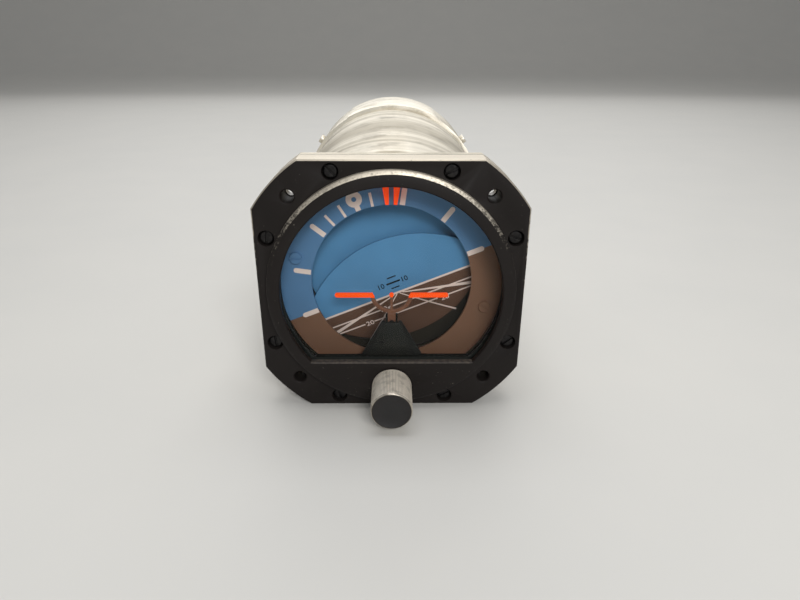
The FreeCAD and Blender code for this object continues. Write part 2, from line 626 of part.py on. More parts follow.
# ---------------------------------------------------------------- rolling assembly, drawn level
CARRIER_RING_BACK_Y = 11.3
RING_BACK_Y = RING_FRONT_Y + CARD_T
RING_SCREWS = [(-RING_SCREW[0], RING_SCREW[1]), (RING_SCREW[0], -RING_SCREW[1])]
HUB_END_Y = 112.0
PITCH_BEARING_R = 3.4
TRUNNION_R = 2.0
PIVOT_R = 1.5
BACKDROP_SCREW = (6.0, 31.2)


def roll_yoke():
    """Ring behind the dial, two side arms and a rear plate with its hub."""
    ring = ytube(RING_OUT_R, 28.0, RING_BACK_Y, CARRIER_RING_BACK_Y)
    plate_back = YOKE_BACK_Y + YOKE_PLATE_T
    arm = block(YOKE_IN, YOKE_OUT, RING_BACK_Y, plate_back, -YOKE_HALF_H, YOKE_HALF_H)
    plate = block(-YOKE_OUT, YOKE_OUT, YOKE_BACK_Y, plate_back, -YOKE_HALF_H - 2, YOKE_HALF_H + 2)
    hub = ycyl(9.0, plate_back, HUB_END_Y)
    body = fused([ring, arm, mirrored(arm), plate, hub])
    cuts = [ycyl(SHAFT_R, 100, 120), xcyl(PITCH_BEARING_R, -40, 40, GYRO_Y)]
    cuts.append(xcyl(PIVOT_R, -40, 40, CARD_PIVOT_Y))
    cuts += [ycyl(1.0, 5, 20, x, z) for x, z in RING_SCREWS]
    cuts += [ycyl(SMALL_R, 5, 20, side * BACKDROP_SCREW[0], BACKDROP_SCREW[1]) for side in (-1, 1)]
    return body.cut(cuts)


def ring_screws():
    """Two screws through the dial ring, their heads painted with it."""
    screw = slotted_screw(2.1, 0.9, 1.0, CARRIER_RING_BACK_Y - RING_FRONT_Y)
    return [placed(turn_y(screw, angle), x, RING_FRONT_Y, z)
            for (x, z), angle in zip(RING_SCREWS, (25, 60))]


def pivot_shell(radius, thickness, half_width):
    """Tube about the card's pivot axis, open at both ends."""
    outer = xcyl(radius, -half_width, half_width, CARD_PIVOT_Y)
    return outer.cut(xcyl(radius - thickness, -half_width - 1, half_width + 1, CARD_PIVOT_Y))


def pitch_card():
    """Curved card bounded by two arcs, wider than the window in the ring."""
    top_z, top_r = CARD_TOP
    low_z, low_r = CARD_BOTTOM
    outline = ycyl(top_r, 5, 40, 0, top_z - top_r).common(ycyl(low_r, 5, 40, 0, low_z + low_r))
    return pivot_shell(CARD_R, CARD_T, CARD_HALF_W).common(outline)


def backdrop():
    """Curved screen behind the card, hung from the yoke's ring by a folded tab."""
    reach = 90.0
    tangent = math.tan(math.radians(BACKDROP_HALF_ANGLE))
    wedge = prism_x([(CARD_PIVOT_Y, 0), (CARD_PIVOT_Y - reach, reach * tangent),
                     (CARD_PIVOT_Y - reach, -reach * tangent)], -BACKDROP_HALF_W, BACKDROP_HALF_W)
    screen = pivot_shell(BACKDROP_R, CARD_T, BACKDROP_HALF_W).common(wedge)
    screen = screen.common(ycyl(SWEEP_R, 0, 60))
    edge = math.radians(BACKDROP_HALF_ANGLE)
    edge_y = CARD_PIVOT_Y - (BACKDROP_R - CARD_T / 2) * math.cos(edge)
    edge_z = (BACKDROP_R - CARD_T / 2) * math.sin(edge)
    shelf = block(-10, 10, CARRIER_RING_BACK_Y, edge_y + 0.5, edge_z - 0.8, edge_z)
    foot = block(-10, 10, CARRIER_RING_BACK_Y, CARRIER_RING_BACK_Y + CARD_T, 29.8, edge_z)
    holes = [ycyl(SMALL_R, 5, 20, side * BACKDROP_SCREW[0], BACKDROP_SCREW[1]) for side in (-1, 1)]
    return fused([screen, shelf, foot]).cut(holes)


def backdrop_screws():
    """Two screws through the tab into the yoke's ring."""
    screw = reversed_y(slotted_screw(1.2, 0.8, SMALL_R, 2.6))
    y = CARRIER_RING_BACK_Y + CARD_T
    return [placed(screw, side * BACKDROP_SCREW[0], y, BACKDROP_SCREW[1]) for side in (-1, 1)]


def card_arm(slotted):
    """Arm on the right: swan neck under the trunnion, slot for the drive pin, foot on the card."""
    route = [(CARD_PIVOT_Y, 0), (70, -10.5), (52, -14.8), (42, -13.4), (35.0, -7.0), (32.0, -1.0),
             (24, -2.5), (10, -3.5)]
    bars = [bar_x(a, b, 2.0, ARM_IN, ARM_OUT) for a, b in zip(route[:-1], route[1:])]
    slot_outer = CARD_PIVOT_Y - (CARD_PIVOT_Y - GYRO_Y + DRIVE_ARM)
    eye = bar_x((slot_outer, 0), (slot_outer + 3.6, 0), 2.6, ARM_IN, ARM_OUT)
    foot = block(ARM_IN, ARM_OUT, 10, 16, -8.0, 1.0)
    boss = xcyl(3.6, ARM_IN, ARM_OUT, CARD_PIVOT_Y)
    tail = bar_x((CARD_PIVOT_Y, 0), (CARD_PIVOT_Y + 8.5, 0), 2.0, ARM_IN, ARM_OUT)
    body = fused(bars + [eye, foot, boss, tail])
    body = body.common(xcyl(CARD_R - CARD_T, 0, 40, CARD_PIVOT_Y))
    body = body.cut(xcyl(PIVOT_R + 0.03, 0, 40, CARD_PIVOT_Y))
    if slotted:
        body = body.cut(drive_slot(slot_outer))
    return body


def drive_slot(outer_y):
    """Slot for the drive pin, a little wider at its inner end, where it is also the pitch stop."""
    pin_r = 1.0
    outer_r = pin_r + 0.06
    inner_r = pin_r + 0.5
    inner_y = outer_y + 3.55
    taper = prism_x([(outer_y, outer_r), (inner_y, inner_r), (inner_y, -inner_r), (outer_y, -outer_r)],
                    ARM_IN - 1, ARM_OUT + 1)
    ends = [xcyl(r, ARM_IN - 1, ARM_OUT + 1, y) for r, y in ((outer_r, outer_y), (inner_r, inner_y))]
    return taper.fuse(ends)


def card_pivot_pins():
    """Shouldered pins pressed into the yoke's arms, one each side."""
    pin = xcyl(PIVOT_R, 27.4, YOKE_OUT, CARD_PIVOT_Y)
    pin = pin.fuse([xcyl(2.6, 27.0, 28.2, CARD_PIVOT_Y), xcyl(2.6, ARM_OUT + 0.2, YOKE_IN, CARD_PIVOT_Y)])
    return [pin, mirrored(pin)]


def card_counterweights():
    """Short brass drums on the tails of the card's arms."""
    drum = xcyl(4.4, 24.0, ARM_IN, CARD_PIVOT_Y + 8.5)
    return [drum, mirrored(drum)]


ring_holes = [ycyl(1.0, 5, 20, x, z) for x, z in RING_SCREWS]
keep_rolled("roll_yoke", roll_yoke())
keep_rolled("roll_shaft", ycyl(SHAFT_R, YOKE_BACK_Y, 146.5).cut(ycyl(1.5, 100, 150)))
keep_rolled("shaft_clip", ytube(5.4, SHAFT_R, 144.6, 145.6))
keep_rolled("roll_ring", ytube(RING_OUT_R, RING_IN_R, RING_FRONT_Y, RING_BACK_Y).cut(ring_holes))
keep_rolled("ring_screws", *ring_screws())
keep_rolled("backdrop", backdrop())
keep_rolled("backdrop_screws", *backdrop_screws())
keep_rolled("roll_balance_weight", block(-14, 14, YOKE_BACK_Y - 5, YOKE_BACK_Y, -20, -3))
bearing_ring = xcyl(PITCH_BEARING_R, YOKE_IN, YOKE_OUT, GYRO_Y).cut(xcyl(TRUNNION_R + RUN, 30, 40, GYRO_Y))
keep_rolled("pitch_bearings", bearing_ring, mirrored(bearing_ring))
keep_rolled("card_pivot_pins", *card_pivot_pins())
keep_rolled("pitch_card", pitch_card())
keep_rolled("card_arms", card_arm(True), mirrored(card_arm(False)))
keep_rolled("card_counterweights", *card_counterweights())

# ---------------------------------------------------------------- rotor, its housing and the vanes
BOSS_R = 5.0
BOSS_OUT = 23.0
INNER_R = HOUSING_R - HOUSING_WALL
FLOOR_Z = HOUSING_BOTTOM_Z + 4.0
BEARING_R = 4.0
COVER_SCREW_RING = 20.6
COVER_SCREW_SPOTS = [(COVER_SCREW_RING * math.cos(math.radians(a)),
                      GYRO_Y + COVER_SCREW_RING * math.sin(math.radians(a)))
                     for a in (30, 90, 150, 210, 270, 330)]
VENT_R = 0.9
VENT_RING_R = 5.0
BUCKETS = 24


def rotor_housing():
    """Cup round the rotor with trunnion bosses, a bearing seat and vents into the exhaust block."""
    body = zcyl(HOUSING_R, HOUSING_BOTTOM_Z, HOUSING_SPLIT_Z, 0, GYRO_Y)
    body = body.fuse(xcyl(BOSS_R, -BOSS_OUT, BOSS_OUT, GYRO_Y))
    cuts = [zcyl(INNER_R, FLOOR_Z, 20, 0, GYRO_Y), zcyl(BEARING_R, FLOOR_Z - 3.0, FLOOR_Z, 0, GYRO_Y),
            xcyl(TRUNNION_R, -30, 30, GYRO_Y), ycyl(1.2, GYRO_Y - 30, GYRO_Y + 30)]
    for i in range(4):
        angle = math.radians(45 + 90 * i)
        x, y = (VENT_RING_R * math.cos(angle), GYRO_Y + VENT_RING_R * math.sin(angle))
        cuts.append(zcyl(VENT_R, -20, FLOOR_Z + 1, x, y))
    cuts += [zcyl(0.7, 6, HOUSING_SPLIT_Z, x, y) for x, y in COVER_SCREW_SPOTS]
    return body.cut(cuts)


def housing_cover():
    """Lid with the upper bearing seat."""
    body = zcyl(HOUSING_R, HOUSING_SPLIT_Z, HOUSING_SPLIT_Z + 2.4, 0, GYRO_Y)
    body = body.fuse(zcyl(9.0, HOUSING_SPLIT_Z, HOUSING_TOP_Z, 0, GYRO_Y))
    cuts = [zcyl(BEARING_R, 11, 16.4, 0, GYRO_Y)]
    cuts += [zcyl(0.7, 6, 16, x, y) for x, y in COVER_SCREW_SPOTS]
    return body.cut(cuts).removeSplitter()


def housing_screws():
    """Six small screws round the lid."""
    top = HOUSING_SPLIT_Z + 2.4
    screw = zcyl(1.3, top, top + 0.8).fuse(zcyl(0.7, top - 6, top))
    return [placed(screw, x, y, 0) for x, y in COVER_SCREW_SPOTS]


def rotor():
    """Heavy rim on a thin web, with a row of air buckets cut round it."""
    profile = [(ROTOR_SHAFT_R, -9), (4.5, -9), (4.5, -4), (12, -2.5), (12, -8), (ROTOR_R, -8),
               (ROTOR_R, 8), (12, 8), (12, 2.5), (4.5, 4), (4.5, 9), (ROTOR_SHAFT_R, 9)]
    wire = Part.makePolygon([V(r, 0, z) for r, z in profile + profile[:1]])
    body = Part.Face(wire).revolve(V(0, 0, 0), V(0, 0, 1), 360)
    bucket = block(16.2, 19, -0.9, 0.9, -3.2, 3.2)
    buckets = []
    for i in range(BUCKETS):
        copy = bucket.copy()
        copy.rotate(V(0, 0, 0), V(0, 0, 1), 360.0 * i / BUCKETS)
        buckets.append(copy)
    return placed(body.cut(buckets), 0, GYRO_Y, 0)


def rotor_bearings():
    """Lower and upper bearing of the rotor's shaft."""
    rings = []
    for z0 in (FLOOR_Z - 2.9, 13.5):
        ring = zcyl(BEARING_R, z0, z0 + 2.8, 0, GYRO_Y)
        rings.append(ring.cut(zcyl(ROTOR_SHAFT_R + RUN, z0 - 1, z0 + 4, 0, GYRO_Y)))
    return rings


def pitch_trunnions():
    """Flanged pins on the housing's sides, running in the yoke's bearings."""
    pin = xcyl(TRUNNION_R, 20.5, YOKE_OUT, GYRO_Y).fuse(xcyl(4.0, BOSS_OUT, 24.4, GYRO_Y))
    return [pin, mirrored(pin)]


def drive_arm():
    """Plate on the right-hand trunnion that carries the drive pin ahead of it."""
    plate = bar_x((GYRO_Y, 0), (GYRO_Y - DRIVE_ARM, 0), 2.6, 24.4, 26.2)
    plate = plate.fuse(xcyl(4.0, 24.4, 26.2, GYRO_Y))
    return plate.cut([xcyl(TRUNNION_R, 20, 30, GYRO_Y), xcyl(1.0, 20, 30, GYRO_Y - DRIVE_ARM)])


def exhaust_block():
    """Square block under the housing with one air port in each side."""
    body = block(-BLOCK_HALF, BLOCK_HALF, GYRO_Y - BLOCK_HALF, GYRO_Y + BLOCK_HALF, BLOCK_BOTTOM_Z,
                 HOUSING_BOTTOM_Z)
    cuts = [zcyl(6.0, BLOCK_BOTTOM_Z + 1.5, -10, 0, GYRO_Y),
            xcyl(1.8, -10, 10, GYRO_Y, PORT_Z), ycyl(1.8, GYRO_Y - 10, GYRO_Y + 10, 0, PORT_Z),
            xcyl(VANE_SHAFT_R + RUN, -10, 10, GYRO_Y, FORE_AFT_SHAFT_Z),
            ycyl(VANE_SHAFT_R + RUN, GYRO_Y - 10, GYRO_Y + 10, 0, SIDE_SHAFT_Z)]
    return body.cut(cuts)


def vane_pair(shaft_z):
    """Shaft along X with a hanging blade at each end, each blade over half of its port."""
    gap, blade_t, blade_w, drop = 0.4, 0.6, 3.2, 7.6
    x0 = BLOCK_HALF + gap
    x1 = x0 + blade_t
    blade = block(x0, x1, 0, blade_w, shaft_z - drop, shaft_z)
    collar = xcyl(1.2, x0, x1, 0, shaft_z)
    far_blade = block(-x1, -x0, -blade_w, 0, shaft_z - drop, shaft_z)
    far_collar = xcyl(1.2, -x1, -x0, 0, shaft_z)
    return fused([xcyl(VANE_SHAFT_R, -x1, x1, 0, shaft_z), blade, collar, far_blade, far_collar])


def fore_aft_vanes():
    """Vanes on the cross shaft, which swing when the housing pitches."""
    return placed(vane_pair(FORE_AFT_SHAFT_Z), 0, GYRO_Y, 0)


def side_vanes():
    """Vanes on the lengthwise shaft; they hang plumb, so they stand off the level drawing."""
    pair = vane_pair(SIDE_SHAFT_Z)
    pair.rotate(V(0, 0, 0), V(0, 0, 1), 90)
    pair.translate(V(0, GYRO_Y, 0))
    pair.rotate(V(0, GYRO_Y, SIDE_SHAFT_Z), V(0, 1, 0), ROLL_DEG)
    return pair


def air_jets():
    """Two nozzles through the housing's wall."""
    tube = ytube(1.2, 0.6, INNER_R - 0.8, HOUSING_R + 1.0)
    jets = [tube, reversed_y(tube)]
    return [placed(jet, 0, GYRO_Y, 0) for jet in jets]


keep_rolled("rotor_housing", rotor_housing())
keep_rolled("housing_cover", housing_cover())
keep_rolled("housing_screws", *housing_screws())
keep_rolled("rotor", rotor())
keep_rolled("rotor_shaft", zcyl(ROTOR_SHAFT_R, FLOOR_Z - 2.8, 16.2, 0, GYRO_Y))
keep_rolled("rotor_bearings", *rotor_bearings())
keep_rolled("pitch_trunnions", *pitch_trunnions())
keep_rolled("drive_arm", drive_arm())
keep_rolled("drive_pin", xcyl(1.0, 24.4, 30.4, GYRO_Y - DRIVE_ARM))
keep_rolled("air_jets", *air_jets())
keep_rolled("exhaust_block", exhaust_block())
keep_rolled("fore_aft_vanes", fore_aft_vanes())
keep_rolled("side_vanes", side_vanes())

# ---------------------------------------------------------------- files
os.makedirs("parts", exist_ok=True)
for name, shape in NODES.items():
    volume = shape.Volume
    print(f"{name:22s} {len(shape.Solids)} solids, {volume:9.1f} mm3, valid {shape.isValid()}")
    shape.exportStep(f"parts/{name}.step")
print(len(NODES), "nodes")
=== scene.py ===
# %% [markdown]
# # An air-driven attitude indicator
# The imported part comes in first, as a fixed frame. Every object in it keeps its place, and each
# new piece is made in the same frame, in metres, and then rides on the body that it belongs to.

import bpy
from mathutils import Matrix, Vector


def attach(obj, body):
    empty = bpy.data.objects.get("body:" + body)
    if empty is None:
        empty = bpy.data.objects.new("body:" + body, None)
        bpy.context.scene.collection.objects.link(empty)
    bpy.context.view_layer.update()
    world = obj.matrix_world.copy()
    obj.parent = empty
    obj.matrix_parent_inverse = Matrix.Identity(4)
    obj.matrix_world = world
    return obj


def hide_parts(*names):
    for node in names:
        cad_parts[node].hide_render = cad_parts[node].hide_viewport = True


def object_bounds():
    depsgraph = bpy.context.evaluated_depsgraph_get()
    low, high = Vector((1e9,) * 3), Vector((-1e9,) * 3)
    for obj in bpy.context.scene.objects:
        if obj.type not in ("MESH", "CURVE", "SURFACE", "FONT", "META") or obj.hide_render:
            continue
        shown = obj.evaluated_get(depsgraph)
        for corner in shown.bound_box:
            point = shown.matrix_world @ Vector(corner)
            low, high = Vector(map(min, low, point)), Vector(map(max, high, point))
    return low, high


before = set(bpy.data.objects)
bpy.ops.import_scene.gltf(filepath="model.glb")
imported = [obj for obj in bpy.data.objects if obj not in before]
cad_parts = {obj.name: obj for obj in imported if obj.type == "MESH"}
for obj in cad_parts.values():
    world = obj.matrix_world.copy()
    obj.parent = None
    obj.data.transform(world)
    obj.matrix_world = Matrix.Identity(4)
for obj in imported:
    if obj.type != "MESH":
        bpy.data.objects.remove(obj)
cad_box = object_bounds()

# %% Libraries and units
import math

import bmesh
import bpy
import numpy as np

MM = 0.001                  # m
scene = bpy.context.scene
scene.view_settings.view_transform = "Standard"
middle = (cad_box[0] + cad_box[1]) / 2
print("CAD box in mm:", [round((b - a) / MM, 2) for a, b in zip(*cad_box)])

# %% [markdown]
# ## Camera
# The dial is seen from a little above and nearly straight on, from less than two hand spans away.
# That nearness matters: it is what makes the case taper so strongly behind the flange, so a short
# lens close by is used and not a long one far off.

# %% Camera
LOOK_DOWN = 23.73           # degrees below level
LOOK_RIGHT = 0.53           # degrees
CAMERA_LEAN = 0.14          # degrees
CAMERA_PLACE = (0.91, -178.15, 75.67)     # mm
LENS = 26.97                # mm, on the usual 36 mm sensor
NEAREST = 0.01              # m, well short of the knob


def in_scene(name, data):
    """An object with this data, linked to the scene and left at the origin."""
    obj = bpy.data.objects.new(name, data)
    scene.collection.objects.link(obj)
    return obj


camera_data = bpy.data.cameras.new("camera")
camera_data.lens = LENS
camera_data.clip_start = NEAREST
camera = in_scene("camera", camera_data)
camera.location = [c * MM for c in CAMERA_PLACE]
camera.rotation_euler = [math.radians(a) for a in (90 - LOOK_DOWN, -CAMERA_LEAN, -LOOK_RIGHT)]
scene.camera = camera
print("camera stands", round((camera.location - middle).length / MM), "mm from the part's middle")

# %% [markdown]
# ## Nodes and colours
# Paint is given as sRGB hex, but Cycles adds light in linear values, so one function turns
# each colour over. One more function adds a node, sets it and links it, for every kind of node.

# %% Colour and node helpers
def linear(code):
    """sRGB hex to linear RGBA: the low end is a straight line, the rest a power of 2.4."""
    values = np.array([int(code[i:i + 2], 16) / 255 for i in (1, 3, 5)])
    curve = np.where(values <= 0.04045, values / 12.92, ((values + 0.055) / 1.055) ** 2.4)
    return (*curve.tolist(), 1.0)


def add(tree, kind, feeds=None, **settings):
    """Adds a node. settings are its properties; feeds gives inputs a value or a socket to link."""
    made = tree.nodes.new("ShaderNode" + kind)
    for name, value in settings.items():
        setattr(made, name, value)
    for place, value in (feeds or {}).items():
        if isinstance(value, bpy.types.NodeSocket):
            tree.links.new(value, made.inputs[place])
        else:
            made.inputs[place].default_value = value
    return made


def start_material(name, **values):
    """A material with one Principled shader: returns it, its tree, shader and Object place."""
    material = bpy.data.materials.new(name)
    material.use_nodes = True
    tree = material.node_tree
    tree.nodes.clear()
    shader = add(tree, "BsdfPrincipled", {k.replace("_", " "): v for k, v in values.items()})
    add(tree, "OutputMaterial", {"Surface": shader.outputs[0]})
    place = add(tree, "TexCoord").outputs["Object"]
    return material, tree, shader, place


def feed(tree, shader, **sockets):
    """Links a socket to each of the shader's inputs named; an underscore stands for a space."""
    for name, socket in sockets.items():
        tree.links.new(socket, shader.inputs[name.replace("_", " ")])


def per_mm(size):
    """Noise scale, in cells per metre, that makes features of about this many mm."""
    return 1.0 / (size * MM)


print("white is", linear("#ffffff"))

# %% [markdown]
# ## Floor and backdrop
# The case tapers nowhere, but it rests on the flange's lower edge in front and on its wider rear
# cover behind, so the floor it stands on is tilted by less than a degree against the axis. One
# sheet is worked out as a profile carried sideways: flat, then curved up into a wall far behind.

# %% Grids and meshes
def grid_faces(rows, columns, close_rows=False, close_columns=False):
    """Quads of a rows by columns grid of points; a closed direction joins its end to its start."""
    i = np.arange(rows if close_rows else rows - 1)[:, None]
    j = np.arange(columns if close_columns else columns - 1)[None, :]
    a = i * columns + j
    b = i * columns + (j + 1) % columns
    c = (i + 1) % rows * columns + (j + 1) % columns
    d = (i + 1) % rows * columns + j
    return np.stack([a, b, c, d], -1).reshape(-1, 4)


def make_mesh(name, points, faces, materials, smooth=True):
    """Points in mm and lists of corners become an object at the origin, in metres."""
    mesh = bpy.data.meshes.new(name)
    mesh.from_pydata((np.asarray(points, float).reshape(-1, 3) * MM).tolist(), [], faces)
    mesh.polygons.foreach_set("use_smooth", [smooth] * len(mesh.polygons))
    for material in materials:
        mesh.materials.append(material)
    mesh.update()
    return in_scene(name, mesh)


print("quads of a 3 by 3 grid:", len(grid_faces(3, 3)))

# %% Floor
FLOOR_Z = -42.5             # mm, under the flange's front edge
FLOOR_SLOPE = -0.01473      # the rear cover's bottom is 1.9 mm lower over 129 mm
FRONT_Y, BEND_Y = -2600, 1500             # mm, the flat part's ends
BEND_R, WALL_TOP = 900, 2600              # mm
HALF_SPAN = 3200            # mm
FLAT_ROWS = 42

bend = np.linspace(0.08, 1.57, 20)        # radians up the curve
run = np.concatenate([np.linspace(FRONT_Y, BEND_Y, FLAT_ROWS), BEND_Y + BEND_R * np.sin(bend)])
rise = np.concatenate([np.zeros(FLAT_ROWS), BEND_R * (1 - np.cos(bend))])
profile_y = np.append(run, BEND_Y + BEND_R)
profile_z = np.append(rise, WALL_TOP) + FLOOR_Z + FLOOR_SLOPE * profile_y
across = np.linspace(-HALF_SPAN, HALF_SPAN, 33)

floor_paint, tree, shader, place = start_material("matt_pale_board", Roughness=0.62)
speckle = add(tree, "TexNoise", {"Vector": place, "Scale": per_mm(60), "Detail": 3.0}).outputs[0]
tone = add(tree, "Mix", {0: speckle, 6: linear("#c9c8c4"), 7: linear("#cfcdc8")},
           data_type="RGBA").outputs[2]
feed(tree, shader, Base_Color=tone)

floor_points = np.stack([np.repeat(across[:, None], len(profile_y), 1),
                         np.repeat(profile_y[None], len(across), 0),
                         np.repeat(profile_z[None], len(across), 0)], -1)
floor_faces = grid_faces(len(across), len(profile_y))[:, ::-1].tolist()
floor = make_mesh("floor", floor_points, floor_faces, [floor_paint])
print("floor reaches", profile_y.max() / 1000, "m back")

# %% [markdown]
# ## Light
# Soft boxes stand above, behind and in front. The one behind is low, so that upward faces mirror it
# towards the camera: that is what makes the case and the rims so pale. The one in front stands
# about 33 degrees above the dial, so that the lip shades the dial's top and the wings drop a
# shadow.

# %% Soft boxes and world
ROOM_LIGHT = 0.27           # what the walls of the room add, where a strength of 1 is white


def soft_box(name, place_mm, width, height, watts):
    """Area light, width by height in metres, that faces the middle of the part."""
    data = bpy.data.lights.new(name, "AREA")
    data.shape = "RECTANGLE"
    data.size, data.size_y, data.energy = width, height, watts
    lamp = in_scene(name, data)
    lamp.location = [c * MM for c in place_mm]
    lamp.rotation_euler = (middle - lamp.location).to_track_quat("-Z", "Y").to_euler()


soft_box("box_above", (0, 160, 1150), 1.0, 0.8, 7.8)
soft_box("box_behind", (0, 1350, 700), 1.7, 0.6, 7.5)
soft_box("box_front", (220, -950, 640), 0.5, 0.35, 8.5)

world = bpy.data.worlds.new("room")
world.use_nodes = True
scene.world = world
background = world.node_tree.nodes["Background"]
background.inputs["Color"].default_value = linear("#f4f5f6")
background.inputs["Strength"].default_value = ROOM_LIGHT

# %% [markdown]
# ## Black enamel that wears to metal
# The bezel is an aluminium casting with stoved black enamel. Handling rubs the paint through on its
# edges first and leaves the flat faces alone. Wear painted by hand has to be painted again when a
# shape changes, so there is one recipe instead: where a noise is above a threshold, metal is bare.
# The share that is bare is set at a low and a high place and grows between them: almost none
# anywhere on the faces, half at the top of the edges, and nearly all at the top of the outer rim.
# That rise with height is partly wear and partly a painted highlight: pale bare metal at the tops
# stands in for the light from above that upward edges and rims catch.

# %% Enamel recipe
ENAMEL_DARK = linear("#181514")
ENAMEL_PALE = linear("#221e1c")
BARE_METAL = linear("#cfc6b6")
METAL_SCAR = linear("#6d675d")
DUST = linear("#8f8a80")
NOISE_TOP = 0.86            # hardly any of the noise is above this, so a share of 0 starts here
NOISE_REACH = 0.72          # a share of 1 is this much lower, where nearly all of it is above


def worn_enamel_and_painted_highlight(name, low_share, high_share, low_z=-40.0, high_z=40.0, chip_mm=4.5, soft=0.05,
                tilt=0.0):
    """Metal where noise is above a threshold, which falls as the bare share rises with
    z - tilt * y; chips are about chip_mm across and soft is how slowly they fade out. The rise with
    height is partly a painted highlight: pale metal at the top, where light from above falls."""
    material, tree, shader, place = start_material(name, Specular_IOR_Level=0.14)
    height = add(tree, "VectorMath", {0: place, 1: (0, -tilt, 1)},
                 operation="DOT_PRODUCT").outputs["Value"]
    bare_from = add(tree, "MapRange", {"Value": height,
                                       "From Min": low_z * MM, "From Max": high_z * MM,
                                       "To Min": NOISE_TOP - NOISE_REACH * low_share - soft,
                                       "To Max": NOISE_TOP - NOISE_REACH * high_share - soft},
                    interpolation_type="SMOOTHSTEP").outputs[0]
    bare_to = add(tree, "Math", {0: bare_from, 1: soft}, operation="ADD").outputs[0]
    chips = add(tree, "TexNoise", {"Vector": place, "Scale": per_mm(chip_mm), "Detail": 9.0,
                                   "Roughness": 0.68}).outputs[0]
    bare = add(tree, "MapRange", {"Value": chips, "From Min": bare_from, "From Max": bare_to},
               interpolation_type="SMOOTHSTEP").outputs[0]
    cloud = add(tree, "TexNoise", {"Vector": place, "Scale": per_mm(17), "Detail": 4.0}).outputs[0]
    enamel = add(tree, "Mix", {0: cloud, 6: ENAMEL_DARK, 7: ENAMEL_PALE},
                 data_type="RGBA").outputs[2]
    grit = add(tree, "TexNoise", {"Vector": place, "Scale": per_mm(0.55), "Detail": 2.0}).outputs[0]
    speck = add(tree, "MapRange", {"Value": grit, "From Min": 0.72, "From Max": 0.77,
                                   "To Max": 0.4}).outputs[0]
    dusty = add(tree, "Mix", {0: speck, 6: enamel, 7: DUST}, data_type="RGBA").outputs[2]
    scar = add(tree, "MapRange", {"Value": grit, "From Min": 0.27, "From Max": 0.33,
                                  "To Min": 0.55, "To Max": 0.0}).outputs[0]
    metal = add(tree, "Mix", {0: scar, 6: BARE_METAL, 7: METAL_SCAR}, data_type="RGBA").outputs[2]
    colour = add(tree, "Mix", {0: bare, 6: dusty, 7: metal}, data_type="RGBA").outputs[2]
    gloss = add(tree, "MapRange", {"Value": cloud, "To Min": 0.42, "To Max": 0.6}).outputs[0]
    peel = add(tree, "Bump", {"Strength": 0.12, "Distance": 0.02 * MM, "Height": grit}).outputs[0]
    feed(tree, shader, Base_Color=colour, Metallic=bare, Roughness=gloss, Normal=peel)
    return material


# %% Enamels of the bezel
enamels = [worn_enamel_and_painted_highlight("stoved_black_enamel", 0.14, 0.16),
           # From here on the bare share grows with height: partly wear, partly a painted highlight at
           # the tops.
           worn_enamel_and_painted_highlight("enamel_rubbed_at_edges_painted_top_highlight", 0.10, 0.58, -5.0, 42.0, 1.6, 0.22),
           worn_enamel_and_painted_highlight("rim_aluminium_worn_and_painted_top_highlight", 0.2, 1.1, 0.0, 38.0, 2.0, 0.12),
           worn_enamel_and_painted_highlight("spigot_painted_top_highlight_and_wear", -0.1, 0.95, 8.0, 70.0, 0.8, 0.4, 14.0),
           worn_enamel_and_painted_highlight("spigot_bevel_wear_and_painted_top_highlight", -0.2, 0.42, 8.0, 40.0, 0.8, 0.4)]

# Dust settles on the ledge under the window, where no finger reaches, and turns the black brownish.
# Its paler tone is partly painted light as well: it stands in for the light from above that the
# lip's shade keeps off this upward face.
ledge_dust_and_painted_light, tree, shader, place = start_material("enamel_ledge_dust_and_painted_light", Roughness=0.75)
settled = add(tree, "TexNoise", {"Vector": place, "Scale": per_mm(1.2), "Detail": 6.0}).outputs[0]
depth = add(tree, "MapRange", {"Value": settled, "From Min": 0.35, "From Max": 0.65}).outputs[0]
film = add(tree, "Mix", {0: depth, 6: linear("#241f1c"), 7: linear("#443c34")},
           data_type="RGBA").outputs[2]
feed(tree, shader, Base_Color=film)
enamels.append(ledge_dust_and_painted_light)
print("enamels:", [enamel.name for enamel in enamels])

# %% [markdown]
# ## Rounded copies of machined parts
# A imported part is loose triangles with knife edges, and real metal never has those. A merged copy
# gets its flat faces back whole, and a Bevel modifier rounds what is left, so that each edge
# catches the light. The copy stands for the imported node, which stays as it is.

# %% Rounded copy
MERGE = 0.0015              # mm, corners nearer than this are one
FLAT_WITHIN = 0.4           # degrees between faces that are really one face
SHARP_FROM = 30             # degrees between faces that meet in an edge


def rows_of_three(items, what):
    """One value of three numbers for each item of a mesh, as rows of an array."""
    values = np.zeros(len(items) * 3)
    items.foreach_get(what, values)
    return values.reshape(-1, 3)


